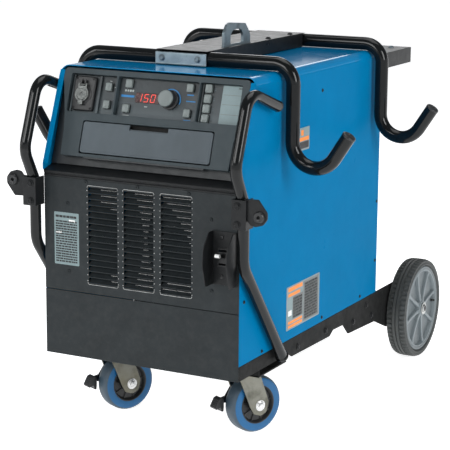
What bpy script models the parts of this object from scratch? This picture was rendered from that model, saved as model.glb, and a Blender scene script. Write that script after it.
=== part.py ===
"""A MIG welding power source on its running gear, in metres, +Z up, front facing -Y.

Lengths named y run back from the front panel's face, and lengths named z run up from that
panel's bottom edge. at() turns them into the world frame, whose origin is on the floor
under the middle of the whole machine.
"""

import math

import bmesh
import bpy
from mathutils import Matrix, Vector

NAME = "mig_welder_on_cart"

# Cabinet
FRONT_Y = -0.5106
BASE_Z = 0.1765
HALF_WIDTH = 0.2475
DEPTH = 0.759
TOP_Z = 0.653
SHEET = 0.002
GAP = 0.0003
CORNER = 0.022
BLUE_BOTTOM_Z = 0.034
SEAM_Z = 0.151
LIP_Z = 0.4205
INNER = HALF_WIDTH - SHEET - GAP
FLANGE_WIDTH = 0.012

# The leaning control panel: its lower front edge, its lean and its height along the lean
PANEL_Y = 0.0136
PANEL_Z = 0.459
PANEL_LEAN = math.radians(18)
PANEL_HEIGHT = 0.198
POCKET_LOW = 0.099
POCKET_HIGH = 0.186
POCKET_DEPTH = 0.016
OVERLAY_FRONT = 0.0135
BUTTON_SIZE = 0.0165
DOOR_HALF = 0.165
DOOR_LOW = 0.0085
DOOR_HIGH = 0.0805
DOOR_AXIS_S = 0.0105
DOOR_AXIS_D = 0.0015
KNOB_X = 0.039
KNOB_S = 0.1435
RECEPTACLE_X = -0.180
RECEPTACLE_S = 0.140
CAP_AXIS_S = 0.161
CAP_AXIS_D = -0.0020

# Louvred front panel, power switch and its guard
LOUVRE_COLUMNS = (-0.0935, -0.0015, 0.0930)
LOUVRE_WIDTH = 0.077
LOUVRE_LOW_Z = 0.1800
LOUVRE_PITCH = 0.0137
LOUVRE_ROWS = 16
LOUVRE_SLOT = 0.005
GUARD_X = 0.213
GUARD_HALF = 0.030
GUARD_LOW_Z = 0.213
GUARD_HIGH_Z = 0.331
SWITCH_X = 0.211
SWITCH_Z = 0.274

# Tubes
HANGER_TUBE = 0.0159
HANGER_Z = 0.6695
HANGER_LEG_X = 0.2705
HANGER_BEND = 0.045
HOOK_RADIUS = 0.055
HOOK_CENTRE_Z = 0.5005
HOOK_END_ANGLE = math.radians(33)
HOOK_STRAIGHT = 0.062
FRONT_HANGER_Y = 0.206
REAR_HANGER_Y = 0.705
HANDLE_TUBE = 0.0127
HANDLE_X = 0.263
CLAMP_Z = 0.378

# Running gear
RAIL_X = 0.2452
RAIL_SHEET = 0.0035
RAIL_TOP_Z = 0.033
RAIL_END_Y = 1.015
WHEEL_RADIUS = 0.1295
WHEEL_WIDTH = 0.052
WHEEL_X = 0.277
WHEEL_Y = 0.952
AXLE_RADIUS = 0.010
WHEEL_Z = WHEEL_RADIUS - BASE_Z
CASTER_RADIUS = 0.067
CASTER_WIDTH = 0.042
CASTER_X = 0.170
CASTER_Y = 0.167
CASTER_TRAIL = 0.032
CASTER_SWING = math.radians(-27)
CASTER_PLATE_Z = -0.0185
CASTER_AXLE_Z = CASTER_RADIUS - BASE_Z
PEDAL_PIVOT_Y = 0.010
PEDAL_PIVOT_Z = CASTER_AXLE_Z + 0.045

# Rear and inside
FAN_Z = 0.465
FAN_RADIUS = 0.112
GLAND_X = 0.165
TERMINAL_Z = 0.120
BOTTLE_Y = 0.890
BOTTLE_RADIUS = 0.102
SHELF_Z = 0.243

# Which way a flat outline stands: its own x and y become these world axes.
ALONG_SIDE = Matrix(((0, 0, 1, 0), (1, 0, 0, 0), (0, 1, 0, 0), (0, 0, 0, 1)))
ACROSS = Matrix(((1, 0, 0, 0), (0, 0, -1, 0), (0, 1, 0, 0), (0, 0, 0, 1)))
LEVEL = Matrix.Identity(4)

PAINTS = {
    "blue_paint": ((0.0, 0.22, 0.52, 1), 0.32, 0.0),
    "charcoal_paint": ((0.042, 0.048, 0.050, 1), 0.5, 0.0),
    "grey_plastic": ((0.075, 0.088, 0.097, 1), 0.5, 0.0),
    "light_plastic": ((0.55, 0.57, 0.56, 1), 0.45, 0.0),
    "black_paint": ((0.012, 0.012, 0.013, 1), 0.25, 0.0),
    "black_plastic": ((0.015, 0.015, 0.016, 1), 0.5, 0.0),
    "red_lens": ((0.12, 0.01, 0.01, 1), 0.2, 0.0),
    "zinc": ((0.55, 0.56, 0.57, 1), 0.35, 1.0),
    "tyre_rubber": ((0.03, 0.032, 0.034, 1), 0.8, 0.0),
    "caster_rubber": ((0.03, 0.13, 0.32, 1), 0.55, 0.0),
    "wheel_plastic": ((0.13, 0.15, 0.16, 1), 0.5, 0.0),
    "copper": ((0.60, 0.28, 0.15, 1), 0.4, 1.0),
    "core_steel": ((0.20, 0.20, 0.21, 1), 0.5, 1.0),
    "aluminium": ((0.6, 0.6, 0.62, 1), 0.4, 1.0),
    "circuit_board": ((0.02, 0.12, 0.05, 1), 0.5, 0.0),
}


def at(x, y, z):
    """The world point x across, y behind the front panel's face and z above its bottom edge."""
    return Vector((x, FRONT_Y + y, BASE_Z + z))


def clear_scene():
    for obj in list(bpy.data.objects):
        bpy.data.objects.remove(obj, do_unlink=True)


def new_collection(name, hidden=False):
    made = bpy.data.collections.new(name)
    made.hide_render = hidden
    bpy.context.scene.collection.children.link(made)
    return made


def paint(name):
    """The named finish as a material, made once."""
    if name in bpy.data.materials:
        return bpy.data.materials[name]
    colour, roughness, metallic = PAINTS[name]
    made = bpy.data.materials.new(name)
    made.use_nodes = True
    shader = made.node_tree.nodes["Principled BSDF"]
    shader.inputs["Base Color"].default_value = colour
    shader.inputs["Roughness"].default_value = roughness
    shader.inputs["Metallic"].default_value = metallic
    made.diffuse_color = colour
    return made


def own(obj, name, finish, parent=None):
    """Names the object, paints it and moves it to the machine's collection."""
    obj.name = name
    obj.data.materials.clear()
    obj.data.materials.append(paint(finish))
    for collection in list(obj.users_collection):
        collection.objects.unlink(obj)
    PARTS.objects.link(obj)
    obj.parent = parent
    return obj


def hide_as_cutter(obj):
    for collection in list(obj.users_collection):
        collection.objects.unlink(obj)
    CUTTERS.objects.link(obj)
    obj.hide_render = True
    obj.display_type = "WIRE"


def boolean(obj, operation, others):
    for other in others:
        modifier = obj.modifiers.new(f"{operation.lower()} {other.name}", "BOOLEAN")
        modifier.operation = operation
        modifier.object = other
        hide_as_cutter(other)
    return obj


def cut(obj, *cutters):
    return boolean(obj, "DIFFERENCE", cutters)


def join(obj, *others):
    return boolean(obj, "UNION", others)


def empty(name, location, parent=None):
    """A guide on a joint's axis, or at the corner of a leaning frame."""
    made = bpy.data.objects.new(name, None)
    PARTS.objects.link(made)
    made.location = location
    made.parent = parent
    return made


def bevel(obj, width, segments=1):
    modifier = obj.modifiers.new("bevel", "BEVEL")
    modifier.width = width
    modifier.segments = segments
    modifier.limit_method = "ANGLE"
    return obj


def block(name, low, high, finish, parent=None):
    """A box between two corners, in its parent's frame or, with none, in the cabinet's."""
    if parent is None:
        low, high = at(*low), at(*high)
    low, high = Vector(low), Vector(high)
    bpy.ops.mesh.primitive_cube_add(size=1, location=(low + high) / 2)
    obj = bpy.context.object
    obj.data.transform(Matrix.Diagonal((*(high - low), 1)))
    return own(obj, name, finish, parent)


def rod(name, centre, radius, length, axis, finish, parent=None, sides=24):
    """A cylinder along X, Y or Z about its centre."""
    turn = {"X": (0, math.pi / 2, 0), "Y": (math.pi / 2, 0, 0), "Z": (0, 0, 0)}[axis]
    place = at(*centre) if parent is None else Vector(centre)
    bpy.ops.mesh.primitive_cylinder_add(
        vertices=sides, radius=radius, depth=length, location=place, rotation=turn
    )
    return own(bpy.context.object, name, finish, parent)


def rounded(corners, radii, closed=True, steps=3):
    """The path through the corners, each of them an arc of its own radius."""
    points = [Vector(corner) for corner in corners]
    if not isinstance(radii, (list, tuple)):
        radii = [radii] * len(points)
    path = []
    for i, (corner, radius) in enumerate(zip(points, radii)):
        is_end = not closed and i in (0, len(points) - 1)
        if is_end or radius == 0:
            path.append(corner)
            continue
        before = (points[i - 1] - corner).normalized()
        after = (points[(i + 1) % len(points)] - corner).normalized()
        angle = before.angle(after)
        centre = corner + (before + after).normalized() * radius / math.sin(angle / 2)
        reach = radius / math.tan(angle / 2)
        first = corner + before * reach - centre
        last = corner + after * reach - centre
        turn = math.pi - angle
        for step in range(steps + 1):
            t = step / steps
            weight_first = math.sin((1 - t) * turn) / math.sin(turn)
            weight_last = math.sin(t * turn) / math.sin(turn)
            path.append(centre + first * weight_first + last * weight_last)
    return path


def poly_curve(name, points, flat, closed):
    data = bpy.data.curves.new(name, "CURVE")
    data.dimensions = "2D" if flat else "3D"
    spline = data.splines.new("POLY")
    spline.points.add(len(points) - 1)
    for target, point in zip(spline.points, points):
        target.co = (*Vector(point).to_3d(), 1)
    spline.use_cyclic_u = closed
    return data


def as_mesh(curve_object):
    """The curve object as a welded mesh object, which a Boolean can use."""
    bpy.context.view_layer.update()
    graph = bpy.context.evaluated_depsgraph_get()
    mesh = bpy.data.meshes.new_from_object(curve_object.evaluated_get(graph))
    weld = bmesh.new()
    weld.from_mesh(mesh)
    bmesh.ops.remove_doubles(weld, verts=weld.verts, dist=1e-6)
    bmesh.ops.recalc_face_normals(weld, faces=weld.faces)
    weld.to_mesh(mesh)
    weld.free()
    made = bpy.data.objects.new(curve_object.name, mesh)
    made.matrix_world = curve_object.matrix_world
    PARTS.objects.link(made)
    bpy.data.objects.remove(curve_object)
    return made


def sheet(name, outline, thickness, stand, centre, finish, parent=None):
    """A flat outline of the given thickness, centred on a point and standing as told."""
    data = poly_curve(name, outline, flat=True, closed=True)
    data.fill_mode = "BOTH"
    data.extrude = thickness / 2
    flat = bpy.data.objects.new(name, data)
    PARTS.objects.link(flat)
    place = at(*centre) if parent is None else Vector(centre)
    flat.matrix_world = Matrix.Translation(place) @ stand
    return own(as_mesh(flat), name, finish, parent)


def tube(name, points, radius, finish, resolution=3):
    """A round tube through points of the cabinet's frame, with closed ends."""
    data = poly_curve(name, [at(*point) for point in points], flat=False, closed=False)
    data.bevel_depth = radius
    data.bevel_resolution = resolution
    data.use_fill_caps = True
    obj = bpy.data.objects.new(name, data)
    PARTS.objects.link(obj)
    return own(obj, name, finish)


def turned(name, profile, centre, axis, finish, parent=None, steps=32):
    """A closed (radius, height) profile spun about an axis. It runs down its outer side."""
    mesh = bpy.data.meshes.new(name)
    spin = bmesh.new()
    corners = [spin.verts.new((radius, 0, height)) for radius, height in profile]
    for first, second in zip(corners, corners[1:] + corners[:1]):
        spin.edges.new((first, second))
    spin.to_mesh(mesh)
    spin.free()
    obj = bpy.data.objects.new(name, mesh)
    PARTS.objects.link(obj)
    screw = obj.modifiers.new("turn", "SCREW")
    screw.steps = steps
    screw.render_steps = steps
    screw.use_merge_vertices = True
    screw.merge_threshold = 1e-5
    obj.rotation_euler = {"X": (0, math.pi / 2, 0), "Y": (math.pi / 2, 0, 0), "Z": (0, 0, 0)}[axis]
    obj.location = at(*centre) if parent is None else Vector(centre)
    return own(obj, name, finish, parent)


def tray(name, low, high, thickness, finish, open_side):
    """A thin box without its top or its bottom face."""
    obj = block(name, low, high, finish)
    shell = bmesh.new()
    shell.from_mesh(obj.data)
    missing = [face for face in shell.faces if face.normal.z * open_side > 0.5]
    bmesh.ops.delete(shell, geom=missing, context="FACES_ONLY")
    shell.to_mesh(obj.data)
    shell.free()
    return solidify(obj, thickness)


def solidify(obj, thickness):
    modifier = obj.modifiers.new("sheet", "SOLIDIFY")
    modifier.thickness = thickness
    modifier.offset = -1
    modifier.use_even_offset = True
    return obj


# --- running gear -------------------------------------------------------------------------


def rail_outline():
    """The side rail: a shallow flange in front that deepens to carry the axle behind."""
    corners = [
        (0.0035, 0.000), (0.250, 0.000), (0.270, -0.011), (0.480, -0.015), (0.500, -0.004),
        (0.560, -0.006), (0.592, -0.036), (0.757, -0.044), (0.839, -0.078), (0.975, -0.078),
        (RAIL_END_Y, -0.050), (RAIL_END_Y, RAIL_TOP_Z), (0.0035, RAIL_TOP_Z),
    ]
    return rounded(corners, 0.005, steps=1)


def make_base_frame():
    """Two side rails joined by the caster channel, a middle tie and the rear tie."""
    right = sheet("base_frame", rail_outline(), RAIL_SHEET, ALONG_SIDE, (RAIL_X, 0, 0), "black_paint")
    left = sheet("rail_left", rail_outline(), RAIL_SHEET, ALONG_SIDE, (-RAIL_X, 0, 0), "black_paint")
    reach = RAIL_X - 0.0008
    ties = [
        block("caster_channel", (-reach, 0.105, -0.018), (reach, 0.245, -0.014), "black_paint"),
        block("channel_front", (-reach, 0.105, -0.018), (reach, 0.109, 0.0035), "black_paint"),
        block("channel_back", (-reach, 0.241, -0.018), (reach, 0.245, 0.0035), "black_paint"),
        block("middle_tie", (-reach, 0.500, -0.001), (reach, 0.560, 0.0035), "black_paint"),
        block("rear_tie", (-reach, 0.7630, 0.000), (reach, 0.7665, 0.030), "black_paint"),
    ]
    join(right, left, *ties)
    hole = rod("axle_holes", (0, WHEEL_Y, WHEEL_Z), AXLE_RADIUS + 0.0012, 0.60, "X", "zinc")
    return cut(right, hole)


def make_bottle_tray():
    """A low floor between the rails, above the axle, with a front riser and a folded rear edge."""
    floor = block("bottle_tray", (-0.2428, 0.7450, -0.0360), (0.2428, 1.0120, -0.0330), "black_paint")
    riser = block("tray_riser", (-0.2428, 0.7450, -0.0360), (0.2428, 0.7480, -0.0015), "black_paint")
    edge = block("tray_edge", (-0.2428, 1.0090, -0.0555), (0.2428, 1.0120, -0.0330), "black_paint")
    return join(floor, riser, edge)


def make_rear_axle():
    end = 0.3095
    turned(
        "rear_axle",
        [
            (0.0005, end), (AXLE_RADIUS, end), (AXLE_RADIUS, end - 0.001),
            (0.0150, end - 0.001), (0.0150, end - 0.0035), (AXLE_RADIUS, end - 0.0035),
            (AXLE_RADIUS, -end + 0.0035), (0.0150, -end + 0.0035), (0.0150, -end + 0.001),
            (AXLE_RADIUS, -end + 0.001), (AXLE_RADIUS, -end), (0.0005, -end),
        ],
        (0, WHEEL_Y, WHEEL_Z), "X", "zinc", steps=24,
    )


def make_rear_wheels():
    half = WHEEL_WIDTH / 2
    tyre_profile = [
        (0.1120, half - 0.006), (0.1180, half), (0.1265, half - 0.001),
        (WHEEL_RADIUS - 0.0008, half - 0.006), (WHEEL_RADIUS, 0.010), (WHEEL_RADIUS, -0.010),
        (WHEEL_RADIUS - 0.0008, -half + 0.006), (0.1265, -half + 0.001),
        (0.1180, -half), (0.1120, -half + 0.006),
    ]
    hub_profile = [
        (0.0106, half), (0.0190, half), (0.0210, half - 0.008), (0.0980, half - 0.010),
        (0.1040, half - 0.003), (0.1100, half - 0.003), (0.1117, half - 0.007),
        (0.1117, -half + 0.007), (0.1060, -half + 0.006), (0.1020, half - 0.016),
        (0.0210, half - 0.018), (0.0190, -half), (0.0106, -half),
    ]
    for side, name in ((1, "right"), (-1, "left")):
        centre = (side * WHEEL_X, WHEEL_Y, WHEEL_Z)
        outward = [(radius, side * height) for radius, height in hub_profile][::side]
        turned(f"rear_tyre_{name}", tyre_profile, centre, "X", "tyre_rubber", steps=32)
        turned(f"rear_hub_{name}", outward, centre, "X", "wheel_plastic", steps=32)


def fork_outline():
    low = CASTER_AXLE_Z
    corners = [
        (-0.028, -0.0315), (0.030, -0.0315), (0.056, low + 0.006), (0.050, low - 0.018),
        (0.034, low - 0.025), (0.014, low - 0.018), (0.004, low),
    ]
    return rounded(corners, [0, 0, 0.012, 0.010, 0.010, 0.010, 0.012], steps=2)


def pad_outline():
    """The brake's foot pad, ahead of the wheel."""
    low = CASTER_AXLE_Z
    corners = [
        (-0.0400, low + 0.0150), (-0.0450, low + 0.0210), (-0.0530, low + 0.0180), (-0.0635, low - 0.0010),
        (-0.0610, low - 0.0055), (-0.0490, low - 0.0010), (-0.0460, low - 0.0120), (-0.0410, low - 0.0120),
        (-0.0400, low - 0.0030),
    ]
    return rounded(corners, 0.001, steps=1)


def arm_outline():
    """The brake's arm, which runs down outside the fork's far leg and then forward to the pad."""
    low = CASTER_AXLE_Z
    corners = [
        (0.0180, low + 0.0400), (0.0180, low + 0.0500), (0.0140, low + 0.0530), (0.0040, low + 0.0530),
        (-0.0010, low + 0.0470), (-0.0230, low + 0.0165), (-0.0430, low + 0.0130), (-0.0430, low),
        (-0.0160, low + 0.0010),
    ]
    return rounded(corners, 0.002, steps=1)


def make_caster(side, name):
    """A swivel caster: its plate is fixed, and its fork, wheel and brake pedal turn about the king pin."""
    x = side * CASTER_X
    top = CASTER_PLATE_Z
    plate = block(
        f"caster_plate_{name}", (x - 0.0475, CASTER_Y - 0.042, top - 0.004),
        (x + 0.0475, CASTER_Y + 0.042, top), "zinc",
    )
    boss = rod(f"race_{name}", (x, CASTER_Y, top - 0.007), 0.026, 0.008, "Z", "zinc")
    join(plate, boss)

    swivel = empty(f"swivel_{name}", at(x, CASTER_Y, 0))
    swivel.rotation_euler.z = CASTER_SWING
    fork = block(f"caster_fork_{name}", (-0.0295, -0.034, -0.0355), (0.0295, 0.036, -0.0310), "zinc", swivel)
    legs = [
        sheet(f"leg_{name}_{number}", fork_outline(), 0.004, ALONG_SIDE, (across, 0, 0), "zinc", swivel)
        for number, across in enumerate((-0.0275, 0.0275))
    ]
    bolt = rod(f"bolt_{name}", (0.0033, CASTER_TRAIL, CASTER_AXLE_Z), 0.006, 0.0668, "X", "zinc", swivel, 12)
    nut = rod(f"nut_{name}", (0.0325, CASTER_TRAIL, CASTER_AXLE_Z), 0.010, 0.007, "X", "zinc", swivel, 6)
    join(fork, *legs, bolt, nut)
    pivot = (-0.0275, PEDAL_PIVOT_Y, PEDAL_PIVOT_Z)
    cut(fork, rod(f"pivot_hole_{name}", pivot, 0.0042, 0.010, "X", "zinc", swivel, 16))

    half = CASTER_WIDTH / 2
    profile = [
        (0.0068, half + 0.002), (0.0150, half + 0.002), (0.0170, half - 0.006),
        (0.0400, half - 0.007), (0.0430, half - 0.001), (0.0590, half),
        (0.0650, half - 0.005), (CASTER_RADIUS, half - 0.013), (CASTER_RADIUS, 0.013 - half),
        (0.0650, 0.005 - half), (0.0590, -half), (0.0430, 0.001 - half),
        (0.0400, 0.007 - half), (0.0170, 0.006 - half), (0.0150, -half - 0.002),
        (0.0068, -half - 0.002),
    ]
    wheel_centre = (0, CASTER_TRAIL, CASTER_AXLE_Z)
    turned(f"caster_wheel_{name}", profile, wheel_centre, "X", "caster_rubber", swivel, 28)
    pedal = sheet(f"brake_pedal_{name}", pad_outline(), 0.023, ALONG_SIDE, (-0.0235, 0, 0), "black_plastic", swivel)
    arm = sheet(f"arm_{name}", arm_outline(), 0.0048, ALONG_SIDE, (-0.0326, 0, 0), "black_plastic", swivel)
    pin = rod(f"pin_{name}", (-0.0295, PEDAL_PIVOT_Y, PEDAL_PIVOT_Z), 0.0035, 0.009, "X", "zinc", swivel, 12)
    join(pedal, arm, pin)


# --- cabinet ------------------------------------------------------------------------------


def bent_sheet(inset):
    """The path of the wrapper's fold, that far inside its outer face."""
    x, top = HALF_WIDTH - inset, TOP_Z - inset
    corners = [(-x, BLUE_BOTTOM_Z), (-x, top), (x, top), (x, BLUE_BOTTOM_Z)]
    return rounded(corners, CORNER - inset, closed=False, steps=6)


def make_wrapper():
    """The blue sheet that forms both sides and the top, cut back along the leaning front."""
    front_y = -0.006
    fold = bent_sheet(0) + bent_sheet(SHEET)[::-1]
    middle_y = (DEPTH + front_y) / 2
    wrapper = sheet("wrapper", fold, DEPTH - front_y, ACROSS, (0, middle_y, 0), "blue_paint")
    front = [
        (-0.030, 0.0), (0.0025, 0.0), (0.0025, LIP_Z), (-0.005, 0.4265), (-0.005, 0.4395),
        (0.0775, 0.6540), (0.0775, 0.700), (-0.030, 0.700),
    ]
    cutter = sheet("front_cut", front, 0.60, ALONG_SIDE, (0, 0, 0), "blue_paint")
    rim = [(-0.0048, 0.4400), (0.0730, 0.6424), (0.0749, 0.6417), (-0.0029, 0.4393)]
    middle = HALF_WIDTH - 0.0008 - FLANGE_WIDTH / 2
    flanges = [
        sheet(f"flange_{side}", rim, FLANGE_WIDTH, ALONG_SIDE, (side * middle, 0, 0), "blue_paint")
        for side in (-1, 1)
    ]
    cut(wrapper, cutter)
    return join(wrapper, *flanges)


def make_louvre_panel():
    """The folded front sheet: face, double lip and the ledge that runs back under the controls."""
    face = block("louvre_panel", (-0.2470, 0, SEAM_Z + 0.0005), (0.2470, 0.002, LIP_Z - 0.0006), "charcoal_paint")
    fold = [
        (0.0005, 0.4100), (-0.0002, 0.4105), (-0.0040, 0.4125), (-0.0040, 0.4150), (-0.0015, 0.4160),
        (-0.0015, 0.4180), (-0.0045, 0.4190), (-0.0045, 0.4235), (-0.0020, 0.4255), (0.0500, 0.4405),
        (0.0505, 0.4388), (0.0015, 0.4230), (0.0015, 0.4100),
    ]
    lip = sheet("panel_lip", fold, 0.4900, ALONG_SIDE, (0, 0, 0), "charcoal_paint")
    join(face, lip)
    slots = []
    for column, centre in enumerate(LOUVRE_COLUMNS):
        for row in range(LOUVRE_ROWS):
            low = LOUVRE_LOW_Z + row * LOUVRE_PITCH
            near = (centre - LOUVRE_WIDTH / 2, -0.01, low)
            far = (centre + LOUVRE_WIDTH / 2, 0.01, low + LOUVRE_SLOT)
            slots.append(block(f"slot_{column}_{row}", near, far, "charcoal_paint"))
    opening = block("switch_hole", (SWITCH_X - 0.0112, -0.01, SWITCH_Z - 0.017),
                    (SWITCH_X + 0.0112, 0.01, SWITCH_Z + 0.017), "charcoal_paint")
    cut(face, merged("slots", slots + [opening]))
    return face


def merged(name, objects):
    """Several cutters as one mesh object."""
    joined = bmesh.new()
    for obj in objects:
        bpy.context.view_layer.update()
        mesh = obj.data.copy()
        mesh.transform(obj.matrix_basis)
        joined.from_mesh(mesh)
        bpy.data.meshes.remove(mesh)
        bpy.data.objects.remove(obj)
    mesh = bpy.data.meshes.new(name)
    joined.to_mesh(mesh)
    joined.free()
    made = bpy.data.objects.new(name, mesh)
    PARTS.objects.link(made)
    return made


def make_rear_panel():
    corners = [(-INNER, 0.0345), (INNER, 0.0345), (INNER, 0.6505), (-INNER, 0.6505)]
    outline = rounded(corners, [0, 0, CORNER - 0.0015, CORNER - 0.0015], steps=4)
    panel = sheet("rear_panel", outline, SHEET, ACROSS, (0, DEPTH - 0.0015, 0), "black_paint")
    slots = []
    rows = 11
    for row in range(rows):
        offset = (row - (rows - 1) / 2) * 0.019
        half = math.sqrt(FAN_RADIUS**2 - offset**2)
        low = FAN_Z + offset - 0.005
        slots.append(block(f"grille_{row}", (-half, DEPTH - 0.01, low), (half, DEPTH + 0.01, low + 0.010), "zinc"))
    cut(panel, merged("grille", slots))
    return cut(panel, rod("gland_hole", (GLAND_X, DEPTH, TERMINAL_Z), 0.0110, 0.030, "Y", "zinc", sides=20))


def make_cabinet():
    make_wrapper()
    make_louvre_panel()
    block("lower_front_plate", (-0.2470, 0, 0), (0.2470, 0.0025, SEAM_Z), "charcoal_paint")
    make_rear_panel()
    tray("base_pan", (-0.2405, 0.010, 0.0040), (0.2405, 0.752, 0.0320), 0.002, "zinc", 1)
    block("centre_shelf", (-INNER, 0.090, SHELF_Z), (INNER, 0.600, SHELF_Z + SHEET), "zinc")


# --- controls -----------------------------------------------------------------------------


def panel_block(name, x_range, s_range, d_range, finish, parent):
    """A box in the leaning panel's frame: x across, s up along the panel, d into the cabinet."""
    (x0, x1), (s0, s1), (d0, d1) = x_range, s_range, d_range
    return block(name, (x0, d0, s0), (x1, d1, s1), finish, parent)


def make_bezel(panel):
    """The moulded frame with three pockets, the door opening and a set-back flange all round."""
    half = [(0.2120, 0.0), (0.2140, 0.060), (0.2190, 0.098), (0.2280, 0.143), (0.2345, 0.172),
            (0.2345, PANEL_HEIGHT)]
    outline = half + [(-x, s) for x, s in reversed(half)]
    radii = [0.002, 0, 0, 0, 0, 0.010, 0.010, 0, 0, 0, 0, 0.002]
    face = sheet("control_bezel", rounded(outline, radii, steps=3), 0.020, ACROSS,
                 (0, 0.010, 0), "grey_plastic", panel)
    flange = panel_block("bezel_flange", (-0.2434, 0.2434), (-0.0185, 0.194), (0.0180, 0.0215), "grey_plastic", panel)
    sill = panel_block("bezel_sill", (-0.152, 0.152), (-0.0035, 0.0060), (0.001, 0.012), "grey_plastic", panel)
    join(face, flange, sill)
    deep = (-0.010, POCKET_DEPTH)
    tall = (POCKET_LOW, POCKET_HIGH)
    pockets = [
        panel_block("pocket_left", (-0.2150, -0.0960), tall, deep, "grey_plastic", panel),
        panel_block("pocket_centre", (-0.0925, 0.1115), tall, deep, "grey_plastic", panel),
        panel_block("pocket_right", (0.1145, 0.2160), tall, deep, "grey_plastic", panel),
        panel_block("door_recess", (-0.1660, 0.1660), (0.0070, 0.0815), deep, "grey_plastic", panel),
    ]
    return cut(face, merged_in(panel, "pockets", pockets))


def merged_in(parent, name, objects):
    made = merged(name, objects)
    made.parent = parent
    return made


def make_button(name, x, s, panel):
    """A square cap that stands proud of its overlay and travels into it."""
    half = BUTTON_SIZE / 2
    panel_block(name, (x - half, x + half), (s - half - 0.001, s + half + 0.001),
                (0.0050, 0.0115), "light_plastic", panel)


def make_buttons(panel):
    centres = {
        "remote_button_upper": (-0.118, 0.1620),
        "remote_button_lower": (-0.118, 0.1220),
        "display_button_left_upper": (-0.0675, 0.1730),
        "display_button_left_lower": (-0.0675, 0.1170),
        "display_button_right_upper": (0.0865, 0.1730),
        "display_button_right_lower": (0.0865, 0.1170),
        "process_button_1": (0.1320, 0.1750),
        "process_button_2": (0.1320, 0.1525),
        "process_button_3": (0.1320, 0.1306),
        "process_button_4": (0.1320, 0.1088),
    }
    for name, (x, s) in centres.items():
        make_button(name, x, s, panel)


def make_receptacle(panel):
    """The remote-control socket, with a flip cap hinged above it."""
    body = panel_block("remote_receptacle", (-0.2060, -0.1520), (0.1040, 0.1810), (0.0040, 0.0130), "black_plastic", panel)
    collar = rod("receptacle_collar", (RECEPTACLE_X, 0.0045, RECEPTACLE_S), 0.0190, 0.007, "Y", "black_plastic", panel)
    bore = rod("receptacle_bore", (RECEPTACLE_X, 0.0000, RECEPTACLE_S), 0.0155, 0.020, "Y", "black_plastic", panel)
    knuckle = panel_block("cap_bracket", (RECEPTACLE_X - 0.004, RECEPTACLE_X + 0.004), (0.1645, 0.1720),
                          (-0.0035, 0.0050), "black_plastic", panel)
    join(body, collar, knuckle)
    cut(body, bore)
    axis = empty("cap_axis", (RECEPTACLE_X, CAP_AXIS_D, CAP_AXIS_S), panel)
    drop = RECEPTACLE_S - CAP_AXIS_S
    cap = rod("receptacle_cap", (0, 0.0010, drop), 0.0178, 0.003, "Y", "zinc", axis)
    ear = block("cap_ear", (-0.0100, -0.0020, -0.0060), (0.0100, 0.0020, 0.0020), "zinc", axis)
    tab = block("cap_tab", (-0.0060, -0.0028, drop - 0.0240), (0.0060, 0.0012, drop - 0.0140), "zinc", axis)
    join(cap, ear, tab)


def make_setup_door(panel):
    axis = empty("door_axis", (0, DOOR_AXIS_D, DOOR_AXIS_S), panel)
    door = block("setup_door", (-DOOR_HALF, -0.0020, DOOR_LOW - DOOR_AXIS_S),
                 (DOOR_HALF, 0.0020, DOOR_HIGH - DOOR_AXIS_S), "wheel_plastic", axis)
    notch = block("finger_notch", (-0.0450, -0.0100, 0.0565), (0.0530, 0.0005, 0.0800), "wheel_plastic", axis)
    cut(door, notch)


def make_controls():
    panel = empty("panel_frame", at(0, PANEL_Y, PANEL_Z))
    panel.rotation_euler.x = -PANEL_LEAN
    make_bezel(panel)
    overlay = (OVERLAY_FRONT, POCKET_DEPTH - GAP)
    tall = (POCKET_LOW + 0.0005, POCKET_HIGH - 0.0005)
    panel_block("remote_panel", (-0.2145, -0.0965), tall, overlay, "charcoal_paint", panel)
    panel_block("display_panel", (-0.0920, 0.1110), tall, overlay, "charcoal_paint", panel)
    panel_block("keypad_panel", (0.1150, 0.2155), tall, overlay, "charcoal_paint", panel)
    panel_block("display_window", (-0.0480, 0.0120), (0.1325, 0.1545), (0.0105, 0.0132), "red_lens", panel)
    make_buttons(panel)
    make_receptacle(panel)
    make_setup_door(panel)
    knob_profile = [
        (0.0005, 0.0130), (0.0165, 0.0130), (0.0185, 0.0115), (0.0190, -0.0040),
        (0.0215, -0.0060), (0.0215, -0.0130), (0.0005, -0.0130),
    ]
    turned("encoder_knob", knob_profile, (KNOB_X, 0.0, KNOB_S), "Y", "light_plastic", panel, 28)
    board = panel_block("control_board", (-0.150, 0.150), (0.020, 0.180), (0.0400, 0.0420), "circuit_board", panel)
    chips = [
        panel_block(f"chip_{number}", (x, x + 0.05), (s, s + 0.04), (0.0415, 0.0500), "circuit_board", panel)
        for number, (x, s) in enumerate(((-0.12, 0.04), (-0.02, 0.10), (0.07, 0.05)))
    ]
    join(board, *chips)


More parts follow.
